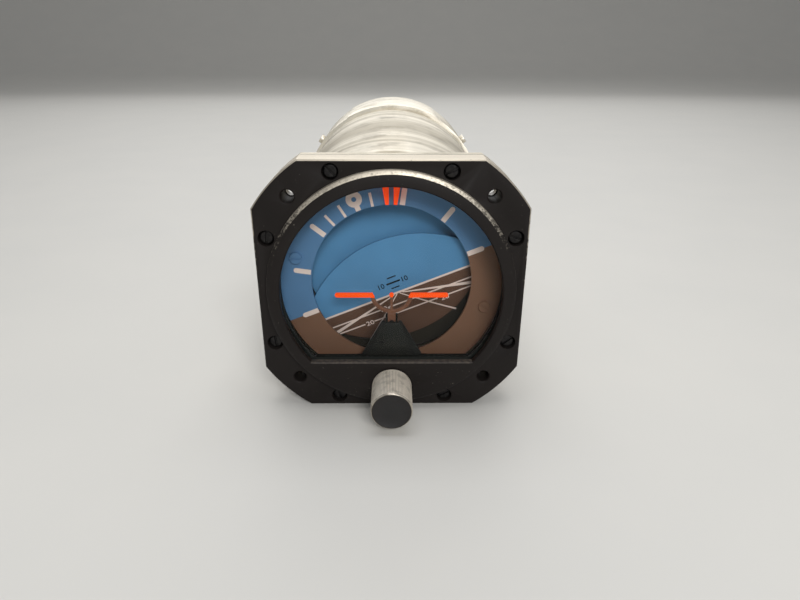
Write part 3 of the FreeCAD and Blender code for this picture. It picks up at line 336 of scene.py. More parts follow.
def rounded_copy(node, body, edge_mm, materials, pick=None):
    """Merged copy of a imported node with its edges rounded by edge_mm. pick gives each face the
    number of its material, from its centre in mm and its normal."""
    work = bmesh.new()
    work.from_mesh(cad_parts[node].data)
    bmesh.ops.remove_doubles(work, verts=work.verts, dist=MERGE * MM)
    bmesh.ops.dissolve_limit(work, angle_limit=math.radians(FLAT_WITHIN), verts=work.verts,
                             edges=work.edges)
    mesh = bpy.data.meshes.new(node + "_finished")
    work.to_mesh(mesh)
    work.free()
    for material in materials:
        mesh.materials.append(material)
    count = len(mesh.polygons)
    if pick is not None:
        chosen = pick(rows_of_three(mesh.polygons, "center") / MM,
                      rows_of_three(mesh.polygons, "normal"))
        mesh.polygons.foreach_set("material_index", chosen.astype(np.int32))
    mesh.polygons.foreach_set("use_smooth", [True] * count)
    mesh.update()
    obj = in_scene(node + "_finished", mesh)
    bevel = obj.modifiers.new("rounding", "BEVEL")
    bevel.width = edge_mm * MM
    bevel.segments = 2
    bevel.limit_method = "ANGLE"
    bevel.angle_limit = math.radians(SHARP_FROM)
    bevel.harden_normals = True
    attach(obj, body)
    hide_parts(node)
    print(f"{node}: {count} faces")


# %% Bezel
MOUNT_AT, MOUNT_R = 31.43, 4              # mm, the panel holes' place in x and z, and their reach
SPIGOT_R = (38.6, 40.0)     # mm, the raised ring's side lies between these radii
SPIGOT_Y = (-3.1, -0.2)     # mm, and between these depths
LEDGE_Z = -23.9             # mm, the ledge under the window
RIM_X, RIM_Z, RIM_R = 42.7, 42.3, 50.5    # mm, the flange's rim is past these, R at its corners


def bezel_faces(centre, normal):
    """0 face, 1 broken edge, 2 outer rim, 3 side of the raised ring, 4 its bevel, 5 ledge by the
    window: told apart by distance from the axis, depth, and how squarely a face looks ahead."""
    x, y, z = centre.T
    radius = np.hypot(x, z)
    ahead = np.abs(normal[:, 1])
    out = np.zeros(len(centre), int)
    sloping = (ahead > 0.3) & (ahead < 0.9) & (y < 0.6)
    holes = np.hypot(np.abs(x) - MOUNT_AT, np.abs(z) - MOUNT_AT) < MOUNT_R
    out[sloping & (radius > 38.5) & ~holes] = 1
    out[sloping & (z < -23.0) & (radius < 35)] = 5
    out[(normal[:, 2] > 0.7) & (np.abs(z - LEDGE_Z) < 0.8) & (y < 0)] = 5
    out[(ahead < 0.3) & ((np.abs(x) > RIM_X) | (np.abs(z) > RIM_Z) | (radius > RIM_R))] = 2
    out[(radius > SPIGOT_R[0]) & (radius < SPIGOT_R[1]) & (y < SPIGOT_Y[1]) & (y > SPIGOT_Y[0])] = 3
    out[(out == 3) & (ahead > 0.2)] = 4
    return out


rounded_copy("bezel", "case", 0.10, enamels, bezel_faces)

# %% [markdown]
# ## Case of spun aluminium
# The case is a bare aluminium tube, turned on a lathe and then handled for decades. Turning leaves
# rings round it. Cut grooves would cost a great many faces, so one noise is stretched until it
# changes mostly along the axis. Grime is a second, even noise. Two bands that the lathe left, a
# dull one and a bright line, are placed by their distance from the flange.

# %% Turned aluminium
def turned_aluminium(name, pale, dull, grime, gloss, bands=()):
    """Rings are noise on (small x, y, small z). gloss is the roughness from pale to dull, and each
    band is (start, end, share of dull), in mm along the axis."""
    material, tree, shader, place = start_material(name, Metallic=0.85)
    stretched = add(tree, "Mapping", {"Vector": place, "Scale": (0.06, 1.0, 0.06)}).outputs[0]
    fine = add(tree, "TexNoise", {"Vector": stretched, "Scale": per_mm(0.8),
                                  "Detail": 3.0}).outputs[0]
    broad = add(tree, "TexNoise", {"Vector": stretched, "Scale": per_mm(7),
                                   "Detail": 5.0}).outputs[0]
    patch = add(tree, "TexNoise", {"Vector": place, "Scale": per_mm(15), "Detail": 7.0,
                                   "Roughness": 0.62}).outputs[0]
    spot = add(tree, "TexNoise", {"Vector": place, "Scale": per_mm(1.6),
                                  "Detail": 4.0}).outputs[0]
    dullness = add(tree, "MapRange", {"Value": broad, "From Min": 0.34,
                                      "From Max": 0.7}).outputs[0]
    depth = add(tree, "SeparateXYZ", {0: place}).outputs["Y"]
    for start, end, share in bands:
        rise, fall = [add(tree, "MapRange", {"Value": depth, "From Min": (edge - 1) * MM,
                                             "From Max": (edge + 1) * MM,
                                             "To Max": share}).outputs[0] for edge in (start, end)]
        band = add(tree, "Math", {0: rise, 1: fall}, operation="SUBTRACT").outputs[0]
        dullness = add(tree, "Math", {0: dullness, 1: band}, operation="ADD").outputs[0]
    body = add(tree, "Mix", {0: dullness, 6: pale, 7: dull}, data_type="RGBA").outputs[2]
    dirty = add(tree, "MapRange", {"Value": patch, "From Min": 0.50, "From Max": 0.70,
                                   "To Max": 0.75}).outputs[0]
    spots = add(tree, "MapRange", {"Value": spot, "From Min": 0.66, "From Max": 0.74,
                                   "To Max": 0.5}).outputs[0]
    soil = add(tree, "Math", {0: dirty, 1: spots}, operation="MAXIMUM").outputs[0]
    colour = add(tree, "Mix", {0: soil, 6: body, 7: grime}, data_type="RGBA").outputs[2]
    rough = add(tree, "MapRange", {"Value": broad, "From Min": 0.3, "From Max": 0.7,
                                   "To Min": gloss[0], "To Max": gloss[1]}).outputs[0]
    rings = add(tree, "Bump", {"Strength": 0.16, "Distance": 0.03 * MM, "Height": fine}).outputs[0]
    feed(tree, shader, Base_Color=colour, Roughness=rough, Normal=rings)
    return material


# %% Case and rear cover
LATHE_BANDS = [(57, 80, 0.55), (114.4, 115.4, -0.9)]

case_metal = turned_aluminium("turned_aluminium_weathered", linear("#e3dccd"), linear("#b9b1a0"),
                              linear("#8f8675"), (0.44, 0.62), LATHE_BANDS)
cover_metal = turned_aluminium("turned_aluminium_cover", linear("#ece6d8"), linear("#cfc8b8"),
                               linear("#a49b89"), (0.4, 0.55))
rounded_copy("case_shell", "case", 0.2, [case_metal])
rounded_copy("rear_cover", "case", 0.3, [cover_metal])

# %% [markdown]
# ## Plain machined metals
# Screws are blackened steel, shafts bright steel and threaded inserts dull steel, gimbal parts are
# cast and milled aluminium, weights and bushings brass. They differ in colour, gloss and how coarse
# their tool marks are, so one recipe with those settings serves them all, and with no metal in it
# the rubber, the felt and the blackened inner parts as well.

# %% Machined metals
def machined(name, base, shade, grain_mm, rough, metallic=1.0, sheen=0.5):
    """Two tones and a faint bump from noise of the tool marks' size."""
    material, tree, shader, place = start_material(name, Metallic=metallic,
                                                   Specular_IOR_Level=sheen)
    marks = add(tree, "TexNoise", {"Vector": place, "Scale": per_mm(grain_mm), "Detail": 5.0,
                                   "Roughness": 0.6}).outputs[0]
    tone = add(tree, "MapRange", {"Value": marks, "From Min": 0.35, "From Max": 0.65}).outputs[0]
    colour = add(tree, "Mix", {0: tone, 6: linear(base), 7: linear(shade)},
                 data_type="RGBA").outputs[2]
    gloss = add(tree, "MapRange", {"Value": marks, "From Min": 0.3, "From Max": 0.7,
                                   "To Min": rough - 0.08, "To Max": rough + 0.08}).outputs[0]
    bump = add(tree, "Bump", {"Strength": 0.15, "Distance": 0.02 * MM,
                              "Height": marks}).outputs[0]
    feed(tree, shader, Base_Color=colour, Roughness=gloss, Normal=bump)
    return material


black_oxide = machined("black_oxide_steel", "#141314", "#2a2827", 1.2, 0.42, 0.7)
bright_steel = machined("bright_steel", "#c9c7c1", "#9d9a93", 0.9, 0.28)
cast_aluminium = machined("milled_cast_aluminium", "#b9b8b4", "#93918c", 1.5, 0.4)
insert_steel = machined("threaded_insert_steel", "#5c5954", "#33302c", 0.6, 0.32)
brass = machined("turned_brass", "#cfae62", "#a98843", 1.1, 0.3)
rotor_steel = machined("ground_steel", "#a3a19c", "#7f7c77", 0.7, 0.26)
rubber = machined("black_rubber", "#171717", "#2c2a28", 0.8, 0.75, 0.0)
black_inside = machined("blackened_inner_metal", "#131212", "#1e1c1b", 2.0, 0.7, 0.0, 0.15)
felt = machined("filter_felt", "#d2cbb6", "#a89f87", 0.4, 0.95, 0.0)
print("materials so far:", len(bpy.data.materials))

# %% [markdown]
# ## Dial paints
# The dial is matt blue above the horizon and brown below. On the dial ring, the card and the screen
# behind it, the two colours meet on a level line of the rolling parts, which are turned 22 degrees.
# Two pieces for two colours would leave a seam, so one material paints both: a Mapping node turns
# the coordinates back, and then height alone picks the colour.

# %% Matt paints
ROLL = math.radians(22)
SKY = linear("#5f92c4")
SPLIT_EDGE = 0.04           # mm, half the width in which one colour gives way to the other


def matt_paint(name, colours, split_mm=None, rough=0.62):
    """One paint, or an upper and a lower one that meet at a height of the rolling parts, with
    faint clouding and grain."""
    material, tree, shader, place = start_material(name, Specular_IOR_Level=0.15)
    colour = colours[0]
    if split_mm is not None:
        level = add(tree, "Mapping", {"Vector": place, "Rotation": (0, ROLL, 0)}).outputs[0]
        height = add(tree, "SeparateXYZ", {0: level}).outputs["Z"]
        upper = add(tree, "MapRange", {"Value": height,
                                       "From Min": (split_mm - SPLIT_EDGE) * MM,
                                       "From Max": (split_mm + SPLIT_EDGE) * MM}).outputs[0]
        colour = add(tree, "Mix", {0: upper, 6: colours[1], 7: colours[0]},
                     data_type="RGBA").outputs[2]
    cloud = add(tree, "TexNoise", {"Vector": place, "Scale": per_mm(9), "Detail": 4.0}).outputs[0]
    value = add(tree, "MapRange", {"Value": cloud, "From Min": 0.3, "From Max": 0.7,
                                   "To Min": 0.95, "To Max": 1.05}).outputs[0]
    toned = add(tree, "HueSaturation", {"Value": value, "Color": colour}).outputs[0]
    grain = add(tree, "TexNoise", {"Vector": place, "Scale": per_mm(0.25),
                                   "Detail": 2.0}).outputs[0]
    bump = add(tree, "Bump", {"Strength": 0.1, "Distance": 0.01 * MM, "Height": grain}).outputs[0]
    gloss = add(tree, "MapRange", {"Value": cloud, "To Min": rough - 0.06,
                                   "To Max": rough + 0.06}).outputs[0]
    feed(tree, shader, Base_Color=toned, Roughness=gloss, Normal=bump)
    return material


# The ring's blue is the card's sky paint made darker and greyer: painted shade for the lip's shadow
# and the dimmer light on the ring behind the lip.
ring_paint_with_painted_shade = matt_paint("dial_ring_paint_blue_painted_shade", [linear("#5f83b1"), linear("#835a48")], 0.0)
card_paint = matt_paint("pitch_card_paint", [SKY, linear("#6d4b3e")], -5.7)
screen_paint = matt_paint("backdrop_paint", [SKY, linear("#3d332c")], -9.0)
mark_white = matt_paint("printed_off_white", [linear("#ffded9")])
mark_black = matt_paint("printed_black", [linear("#15181c")])
orange = matt_paint("fluorescent_orange_lacquer", [linear("#ff490b")], rough=0.5)
# Painted glow: an emission that makes the orange brighter than the lamps light it.
PAINTED_GLOW = {"Emission Color": linear("#ff4005"), "Emission Strength": 0.45}
for socket, value in PAINTED_GLOW.items():
    orange.node_tree.nodes["Principled BSDF"].inputs[socket].default_value = value
paints = (ring_paint_with_painted_shade, card_paint, screen_paint, mark_white, mark_black, orange)
print("paints:", [paint.name for paint in paints])

# %% [markdown]
# ## Rolling parts and their marks
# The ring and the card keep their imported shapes. Their marks are silk-screened, a thin raised film.
# A material could draw them, but every outline would need nodes of its own. So each mark is a thin
# slab: a line with a half-width at each point, laid on the flat ring or wrapped on the card, which
# is part of a cylinder about its pivot.

# %% Slabs
FILM = 0.04                 # mm that a printed mark stands proud; half as much is sunk
LIFT = 0.002                # mm that a mark lies above the one before, where they cross
STROKE_STEPS = 24           # points along a straight mark


def slab(line, half_width, closed=False):
    """Flat strip round a line of (x, z) points: line minus and plus its normal times half_width.
    Returns four (x, z) corners for each point, the quads of a closed box, and each corner's level:
    0 for the face that shows, 1 for the one underneath."""
    line = np.asarray(line, float)
    ahead = np.roll(line, -1, 0) if closed else np.vstack([line[1:], line[-1:]])
    behind = np.roll(line, 1, 0) if closed else np.vstack([line[:1], line[:-1]])
    along = ahead - behind
    along /= np.linalg.norm(along, axis=1)[:, None]
    normal = np.stack([-along[:, 1], along[:, 0]], 1)
    side = normal * np.broadcast_to(half_width, len(line))[:, None]
    left, right = line - side, line + side
    faces = grid_faces(len(line), 4, close_rows=closed, close_columns=True)
    if not closed:
        last = 4 * (len(line) - 1)
        faces = np.vstack([faces, [[3, 2, 1, 0]], [[last, last + 1, last + 2, last + 3]]])
    corners = np.stack([left, right, right, left], 1).reshape(-1, 2)
    return corners, faces, np.tile([0, 0, 1, 1], len(line))


def stroke(start, end, width, end_width=None, round_end=False):
    """Straight mark: start + (end - start) * t, as wide as width + (end_width - width) * t. A
    rounded end narrows as a half circle."""
    start, end = np.array(start, float), np.array(end, float)
    t = 0.5 - 0.5 * np.cos(np.linspace(0, np.pi, STROKE_STEPS))
    length = np.linalg.norm(end - start)
    half = 0.5 * (width + ((end_width or width) - width) * t)
    if round_end:
        inside = np.clip(1 - (1 - t) * length / half[-1], 0, 1)
        half = half * np.sqrt(np.clip(1 - inside ** 2, 1e-4, 1))
    return slab(start + (end - start) * t[:, None], half)


def circle(x, z, r):
    """64 points round a circle: (x + r cos a, z + r sin a)."""
    turn = np.linspace(0, 2 * np.pi, 64, endpoint=False)
    return np.stack([x + r * np.cos(turn), z + r * np.sin(turn)], 1)


print("a stroke has", len(stroke((0, 0), (1, 0), 0.1)[1]), "faces")

# %% Wrapping and printing
RING_FACE_Y = 8.5           # mm
CARD_PIVOT_Y = 87.5         # mm
CARD_R = 75.0               # mm


def rolled(points):
    """Level drawing to the frame: turned about Y, right side up."""
    x, y, z = np.moveaxis(np.asarray(points, float), -1, 0)
    return np.stack([x * math.cos(ROLL) - z * math.sin(ROLL), y,
                     x * math.sin(ROLL) + z * math.cos(ROLL)], -1)


def on_ring(points, level):
    """Flat ring: y = the ring's face, less the film's height on the face that shows."""
    y = RING_FACE_Y - np.where(level == 0, FILM, -FILM / 2)
    return rolled(np.stack([points[:, 0], y, points[:, 1]], -1))


def on_card(points, level):
    """Card: y = pivot - square root of (radius squared - z squared)."""
    radius = CARD_R + np.where(level == 0, FILM, -FILM / 2)
    y = CARD_PIVOT_Y - np.sqrt(radius ** 2 - points[:, 1] ** 2)
    return rolled(np.stack([points[:, 0], y, points[:, 1]], -1))


def outward(obj):
    """Turns a closed mesh's faces outwards."""
    work = bmesh.new()
    work.from_mesh(obj.data)
    bmesh.ops.recalc_face_normals(work, faces=work.faces)
    work.to_mesh(obj.data)
    work.free()


def print_marks(name, slabs, wrap, body, material):
    """Joins slabs into one piece, each a hair above the last."""
    points, faces, offset = [], [], 0
    for number, (flat, quads, level) in enumerate(slabs):
        placed = wrap(flat, level)
        placed[:, 1] -= LIFT * number
        points.append(placed)
        faces.append(quads + offset)
        offset += len(flat)
    obj = make_mesh(name, np.vstack(points), np.vstack(faces).tolist(), [material], smooth=False)
    outward(obj)
    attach(obj, body)
    print(f"{name}: {len(slabs)} marks")


# %% Marks on the dial ring
PRINT_SHIFT = -0.4          # mm, the screen print sits a little off centre
MARK_FROM = 26.85           # mm from the axis
SHORT_MARK = {"r0": MARK_FROM, "r1": 31.4, "width": 0.88}
LONG_MARK = {"r0": 27.0, "r1": 32.8, "width": 1.7, "round_end": True}
EYE_Z, EYE_R = 30.8, 1.7    # mm, the eye at zero, with a stem under it


def radial(angle, r0, r1, **how):
    """Mark along a radius, from (r0 sin a, r0 cos a) to r1, where a is clockwise from zero."""
    direction = np.array([math.sin(math.radians(angle)), math.cos(math.radians(angle))])
    shift = np.array([PRINT_SHIFT * math.cos(math.radians(angle)) ** 2, 0.0])
    return stroke(direction * r0 + shift, direction * r1 + shift, **how)


ring_marks = [radial(a, **SHORT_MARK) for a in (-20, -10, 10, 20)]
ring_marks += [radial(a, **LONG_MARK) for a in (-90, -60, -30, 30, 60, 90)]
ring_marks += [slab(circle(PRINT_SHIFT, EYE_Z, EYE_R), 0.9, closed=True),
               stroke((PRINT_SHIFT, MARK_FROM), (PRINT_SHIFT, 28.6), 1.7)]
print_marks("ring_marks", ring_marks, on_ring, "roll_gimbal", mark_white)

# %% Lines on the pitch card
HORIZON_Z = -5.74           # mm
# A line below the horizon: its height, half its length, and the gap for its numeral, from and to.
DIVE_LINES = [(-9.98, 26.6, 5.5, 8.3), (-13.32, 25.3, 11.9, 15.5)]


def level_line(x0, x1, z, width):
    """Level line on the card, from x0 to x1."""
    return stroke((x0, z), (x1, z), width)


card_lines = [level_line(-29.3, 29.3, HORIZON_Z, 0.7)]
for z, reach, gap_from, gap_to in DIVE_LINES:
    card_lines.append(level_line(-gap_from, gap_from, z, 0.5))
    card_lines += [level_line(side * gap_to, side * reach, z, 0.5) for side in (-1, 1)]
for side in (-1, 1):        # lines that run together at the horizon, as a plain does
    card_lines.append(stroke((side * 1.5, -6.2), (side * 26.0, -12.4), 0.35, 1.15))
    card_lines.append(stroke((side * 0.5, -6.2), (side * 16.4, -20.3), 0.3, 0.62))
print_marks("card_lines", card_lines, on_card, "card", mark_white)

card_bars = [level_line(-1.5, 1.5, -3.63, 0.42), level_line(-2.6, 2.4, -1.61, 0.6),
             level_line(-1.6, 1.6, 0.4, 0.42)]
print_marks("card_bars", card_bars, on_card, "card", mark_black)

# %% [markdown]
# ## Numerals
# The card counts pitch in tens. Each stroke of a figure could be drawn as a mark of its own, but
# text comes with good proportions. So plain figures are typed, turned into a mesh, scaled to their
# real height and width, and wrapped on the card like the lines.

# %% Numerals on the card
def numeral(text, x, z, width, height):
    """Text as a mesh, stretched to width and height about (x, z) and wrapped on the card."""
    curve = bpy.data.curves.new("figure", "FONT")
    curve.body = text
    curve.extrude = 0.5                   # any depth will do, because it becomes the film's
    curve.resolution_u = 4
    curve.offset = 0.012                  # of the font's size: the print is a little bold
    obj = in_scene("figure", curve)
    evaluated = obj.evaluated_get(bpy.context.evaluated_depsgraph_get())
    mesh = bpy.data.meshes.new_from_object(evaluated)
    bpy.data.objects.remove(obj)
    corners = rows_of_three(mesh.vertices, "co")
    low, high = corners.min(0), corners.max(0)
    share = (corners - low) / (high - low) - 0.5
    flat = np.stack([x + share[:, 0] * width, z + share[:, 1] * height], 1)
    placed = on_card(flat, np.where(share[:, 2] > 0, 0, 1))
    mesh.vertices.foreach_set("co", (placed * MM).ravel())
    mesh.update()
    return mesh


def numerals(name, figures, material):
    """Several numerals in one piece on the card."""
    work = bmesh.new()
    for figure in figures:
        work.from_mesh(numeral(*figure))
    bmesh.ops.remove_doubles(work, verts=work.verts, dist=0.001 * MM)
    bmesh.ops.recalc_face_normals(work, faces=work.faces)
    mesh = bpy.data.meshes.new(name)
    work.to_mesh(mesh)
    work.free()
    mesh.materials.append(material)
    obj = in_scene(name, mesh)
    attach(obj, "card")
    print(f"{name}: {len(mesh.polygons)} faces")


# Each figure: what it says, its middle (x, z), its width and its height.
numerals("card_figures_black",
         [("10", side * 4.3 - 0.2, -1.66, 2.1, 1.85) for side in (-1, 1)], mark_black)
numerals("card_figures_white",
         [("10", side * 6.9, -9.98, 2.3, 1.8) for side in (-1, 1)]
         + [("20", -13.65, -13.4, 2.9, 1.8), ("20", 14.4, -14.0, 2.9, 1.8)], mark_white)

# %% [markdown]
# ## Miniature aeroplane, pedestal and bank index
# The aeroplane is stamped from sheet, brown below and orange on the wings and the dot, so that only
# those catch the eye. The orange is fluorescent and looks brighter than the light on it allows, so a
# little emission, a painted glow, is added. The colours meet at places on the sheet, not at edges,
# so the material picks them from the place. The pedestal is black and its front carries nothing.
# The index at the top is all orange.

# %% Aeroplane paint
DOT_Z, DOT_R = -2.44, 0.85  # mm
WING_FROM_X = 5.3           # mm, orange starts here,
WING_FROM_Z = -3.42         # and above this height

symbol_paint, tree, shader, place = start_material("orange_and_brown_lacquer", Roughness=0.5,
                                                   Specular_IOR_Level=0.15)
axes = add(tree, "SeparateXYZ", {0: place})
sideways = add(tree, "Math", {0: axes.outputs["X"]}, operation="ABSOLUTE").outputs[0]
outboard = add(tree, "Math", {0: sideways, 1: WING_FROM_X * MM},
               operation="GREATER_THAN").outputs[0]
high = add(tree, "Math", {0: axes.outputs["Z"], 1: WING_FROM_Z * MM},
           operation="GREATER_THAN").outputs[0]
wing = add(tree, "Math", {0: outboard, 1: high}, operation="MULTIPLY").outputs[0]
flat = add(tree, "VectorMath", {0: place, 1: (1, 0, 1)}, operation="MULTIPLY").outputs[0]
reach = add(tree, "VectorMath", {0: flat, 1: (0, 0, DOT_Z * MM)},
            operation="DISTANCE").outputs["Value"]
dot = add(tree, "Math", {0: reach, 1: DOT_R * MM}, operation="LESS_THAN").outputs[0]
lit = add(tree, "Math", {0: wing, 1: dot}, operation="MAXIMUM").outputs[0]
worn = add(tree, "TexNoise", {"Vector": place, "Scale": per_mm(1.5), "Detail": 4.0}).outputs[0]
brown = add(tree, "Mix", {0: worn, 6: linear("#8f5c48"), 7: linear("#74493a")},
            data_type="RGBA").outputs[2]
both = add(tree, "Mix", {0: lit, 6: brown, 7: linear("#ff5510")}, data_type="RGBA").outputs[2]
# The painted glow goes only on the orange wings and dot.
glow = add(tree, "Math", {0: lit, 1: PAINTED_GLOW["Emission Strength"]}, operation="MULTIPLY").outputs[0]
feed(tree, shader, Base_Color=both, Emission_Strength=glow)
shader.inputs["Emission Color"].default_value = PAINTED_GLOW["Emission Color"]
print("aeroplane paint:", len(tree.nodes), "nodes")

# %% Front pieces
pedestal_black = machined("satin_black_cover", "#1d1b1a", "#262322", 3.0, 0.55, 0.0, 0.15)

rounded_copy("airplane_symbol", "symbol", 0.14, [symbol_paint])
rounded_copy("symbol_pedestal", "case", 0.12, [pedestal_black])
rounded_copy("bank_index", "case", 0.08, [orange])

# %% [markdown]
# ## Knurled knob
# The knob is turned from aluminium bar, knurled straight along its side and anodised black. Fingers
# have rubbed the knurl's crests back to grey metal, while the front face is still black inside a
# thin bright chamfer. A bump would leave its outline smooth, so the knurl is real: the knob is a
# profile turned about the shaft, whose radius ripples along the knurl.

# %% Turned surface
def turned_surface(profile, columns, ripple=None):
    """Point = (r cos a, y, r sin a), r = profile radius plus ripple(y, a); ends close in fans."""
    radius, y = np.array(profile, float).T
    turn = np.linspace(0, 2 * np.pi, columns, endpoint=False)
    r = radius[:, None] + (ripple(y[:, None], turn[None]) if ripple else 0 * turn[None])
    points = np.stack([r * np.cos(turn), np.repeat(y[:, None], columns, 1), r * np.sin(turn)], -1)
    rows = len(radius)
    first, last = rows * columns, rows * columns + 1      # the fans' middles
    here = np.arange(columns)
    ahead = np.roll(here, -1)
    far = (rows - 1) * columns
    fans = np.vstack([np.stack([np.full(columns, first), ahead, here], 1),
                      np.stack([np.full(columns, last), far + here, far + ahead], 1)])
    faces = grid_faces(rows, columns, close_columns=True).tolist() + fans.tolist()
    poles = [[0, y[0], 0], [0, y[-1], 0]]
    return np.vstack([points.reshape(-1, 3), poles]), faces


print("faces of an eight-sided rod:", len(turned_surface([(1, 0), (1, 1)], 8)[1]))

# %% Knob
KNOB_Z = -32.8              # mm, height of its shaft
KNOB_R = 6.7                # mm
KNOB_FRONT = -19.2          # mm
KNOB_BACK = -3.7            # mm
CHAMFER = 0.6               # mm, from the front, and from the back, to the straight side
TEETH = 84                  # about half a millimetre from crest to crest
KNURL_DEPTH = 0.14          # mm
FADE = 0.5                  # mm in which the knurl runs out at each end
BORE_R, BORE_END = 1.62, -15.1            # mm, the shaft's hole, open at the back


def knurl(y, turn):
    """Ripple = -depth * (half - half cos(TEETH * a)), faded out at both ends of the side."""
    window = (np.clip((y - KNOB_FRONT - 0.7) / FADE, 0, 1)
              * np.clip((KNOB_BACK - 0.8 - y) / FADE, 0, 1))
    return -KNURL_DEPTH * window * (0.5 - 0.5 * np.cos(TEETH * turn))


# (radius, y): a face sunk inside its rim, the chamfer, the side, round the back and up the bore.
face_and_chamfer = [(0.4, KNOB_FRONT + 0.12), (3.0, KNOB_FRONT + 0.12), (6.0, KNOB_FRONT + 0.1),
                    (6.12, KNOB_FRONT), (6.32, KNOB_FRONT), (6.62, KNOB_FRONT + 0.34)]
side_rows = [(KNOB_R, y) for y in np.linspace(KNOB_FRONT + CHAMFER, KNOB_BACK - CHAMFER, 16)]
back_and_bore = [(6.55, KNOB_BACK - 0.35), (6.1, KNOB_BACK), (3.5, KNOB_BACK), (BORE_R, KNOB_BACK),
                 (BORE_R, -9.0), (BORE_R, BORE_END), (0.3, BORE_END)]
knob_points, knob_faces = turned_surface(face_and_chamfer + side_rows + back_and_bore, TEETH * 6,
                                         knurl)
knob_points[:, 2] += KNOB_Z
print("knob:", len(knob_faces), "faces,", TEETH, "teeth")


# %% Knob finishes
def knob_metal(name, low, high, low_r, high_r, metallic, rough):
    """Colour from low to high as the distance from the knob's axis grows, broken up by noise."""
    material, tree, shader, place = start_material(name, Metallic=metallic)
    axis = add(tree, "Mapping", {"Vector": place, "Location": (0, 0, -KNOB_Z * MM)}).outputs[0]
    flat = add(tree, "VectorMath", {0: axis, 1: (1, 0, 1)}, operation="MULTIPLY").outputs[0]
    radius = add(tree, "VectorMath", {0: flat}, operation="LENGTH").outputs["Value"]
    crest = add(tree, "MapRange", {"Value": radius, "From Min": low_r * MM,
                                   "From Max": high_r * MM}).outputs[0]
    patch = add(tree, "TexNoise", {"Vector": place, "Scale": per_mm(2.6), "Detail": 6.0}).outputs[0]
    keep = add(tree, "MapRange", {"Value": patch, "From Min": 0.36, "From Max": 0.52,
                                  "To Min": 0.55, "To Max": 1.0}).outputs[0]
    share = add(tree, "Math", {0: crest, 1: keep}, operation="MULTIPLY").outputs[0]
    colour = add(tree, "Mix", {0: share, 6: low, 7: high}, data_type="RGBA").outputs[2]
    gloss = add(tree, "MapRange", {"Value": patch, "To Min": rough - 0.08,
                                   "To Max": rough + 0.08}).outputs[0]
    feed(tree, shader, Base_Color=colour, Roughness=gloss)
    return material


knob_black = knob_metal("black_anodised_face", linear("#0b0909"), linear("#130f0f"), 0.0, 6.0,
                        0.0, 0.55)
knob_bright = knob_metal("rubbed_chamfer", linear("#35302c"), linear("#c9c1b3"), 6.25, 6.5,
                         0.8, 0.4)
knob_worn = knob_metal("knurl_rubbed_grey", linear("#979083"), linear("#eee5d5"), 6.54, 6.66,
                       0.5, 0.55)

knob = make_mesh("knob_knurled", knob_points, knob_faces, [knob_black, knob_bright, knob_worn])
outward(knob)
knob_at = rows_of_three(knob.data.polygons, "center") / MM
off_axis = np.hypot(knob_at[:, 0], knob_at[:, 2] - KNOB_Z)
on_chamfer = (knob_at[:, 1] < KNOB_FRONT + CHAMFER) & (off_axis > 6.1)
on_side = ((knob_at[:, 1] > KNOB_FRONT + CHAMFER) & (knob_at[:, 1] < KNOB_BACK)
           & (off_axis > 5.9))
finish = np.where(on_side, 2, np.where(on_chamfer, 1, 0))
knob.data.polygons.foreach_set("material_index", finish.astype(np.int32))
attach(knob, "knob")
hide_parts("adjust_knob")
print("faces that are black, bright and worn:", np.bincount(finish).tolist())

# %% [markdown]
# ## Glass
# The cover glass is flat and thin beside its distance from the dial, so what it bends doesn't show
# and light goes straight through. Its mirror share grows towards grazing light as the fifth power
# of facing. Straight ahead the share is less than real glass has, so that the pale room mirrored in
# it doesn't veil the dial. A trace of dust is what makes old glass visible at all.

# %% Clear glass
glass, tree, shader, place = start_material("clear_float_glass")
tree.nodes.remove(shader)
clear = add(tree, "BsdfTransparent", {"Color": linear("#f4f8f6")}).outputs[0]
mirror = add(tree, "BsdfGlossy", {"Roughness": 0.04}).outputs[0]
facing = add(tree, "LayerWeight", {"Blend": 0.5}).outputs["Facing"]
steep = add(tree, "Math", {0: facing, 1: 5.0}, operation="POWER").outputs[0]
share = add(tree, "MapRange", {"Value": steep, "To Min": 0.008, "To Max": 1.0}).outputs[0]
pane = add(tree, "MixShader", {0: share, 1: clear, 2: mirror}).outputs[0]
film = add(tree, "TexNoise", {"Vector": place, "Scale": per_mm(0.7), "Detail": 3.0}).outputs[0]
motes = add(tree, "MapRange", {"Value": film, "From Min": 0.68, "From Max": 0.80,
                               "To Min": 0.0, "To Max": 0.1}).outputs[0]
dust = add(tree, "BsdfDiffuse", {"Color": linear("#b8b2a8")}).outputs[0]
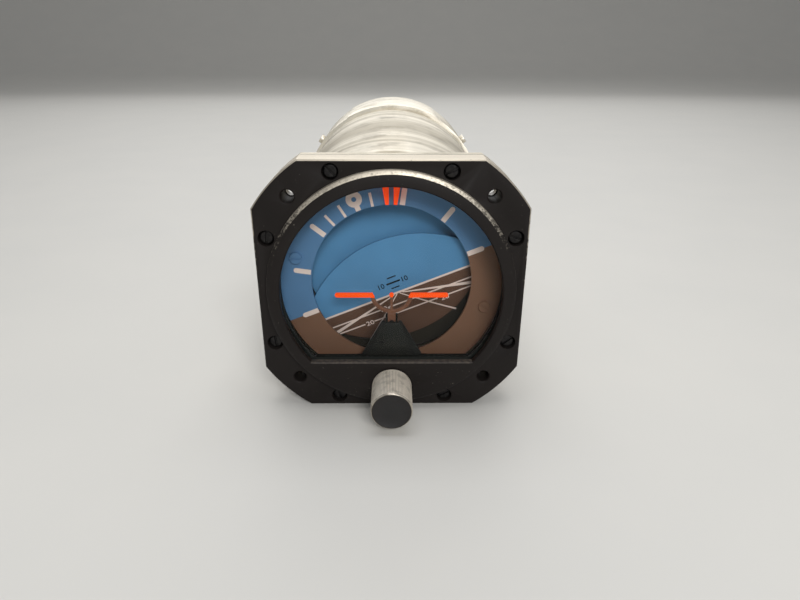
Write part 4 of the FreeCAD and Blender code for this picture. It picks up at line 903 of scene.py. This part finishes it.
dusty = add(tree, "MixShader", {0: motes, 1: pane, 2: dust}).outputs[0]
tree.links.new(dusty, tree.nodes["Material Output"].inputs["Surface"])
print("glass:", len(tree.nodes), "nodes")

# %% [markdown]
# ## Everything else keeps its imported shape
# The other screws, fittings and gimbals are right as they are, and need only their metals. The ones
# that show outside get rounded edges as well, because there an edge catches the light.

# %% Fittings outside
for node, edge, material, slot in (("bezel_screws", 0.08, black_oxide, "black_oxide"),
                                   ("cover_screws", 0.12, cover_metal, "bright_steel"),
                                   ("suction_port", 0.2, cast_aluminium, "cast_aluminium"),
                                   ("inlet_port", 0.2, cast_aluminium, "cast_aluminium")):
    rounded_copy(node, "case", edge, [material])

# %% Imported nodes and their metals
FINISHES = {
    glass: ["lens_glass"],
    rubber: ["bezel_gasket", "lens_seal", "cover_gasket"],
    black_inside: ["lens_retainer", "slide_guide", "symbol_slide"],
    black_oxide: ["pedestal_screws", "guide_screws", "knob_set_screw", "index_screws",
                  "symbol_rivet"],
    insert_steel: ["mounting_inserts"],
    bright_steel: ["pinion_shaft", "roll_shaft", "shaft_clip", "backdrop_screws",
                   "card_pivot_pins", "housing_screws", "pitch_trunnions", "drive_pin",
                   "carrier_screws", "rotor_shaft", "port_nuts"],
    ring_paint_with_painted_shade: ["roll_ring", "ring_screws"],
    card_paint: ["pitch_card"],
    screen_paint: ["backdrop"],
    cast_aluminium: ["bearing_carrier", "roll_yoke", "rotor_housing", "housing_cover",
                     "exhaust_block", "card_arms", "suction_tube", "drive_arm"],
    brass: ["knob_bushing", "roll_balance_weight", "card_counterweights", "air_jets",
            "fore_aft_vanes", "side_vanes"],
    rotor_steel: ["front_roll_bearing", "rear_roll_bearing", "pitch_bearings", "rotor_bearings",
                  "rotor"],
    felt: ["filter_element"],
}
for material, names in FINISHES.items():
    for name in names:
        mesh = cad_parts[name].data
        mesh.materials.clear()
        mesh.materials.append(material)
finished = {name for names in FINISHES.values() for name in names}
shown = {name for name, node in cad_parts.items() if not node.hide_render}
print("without a finish:", sorted(shown - finished) or "none")
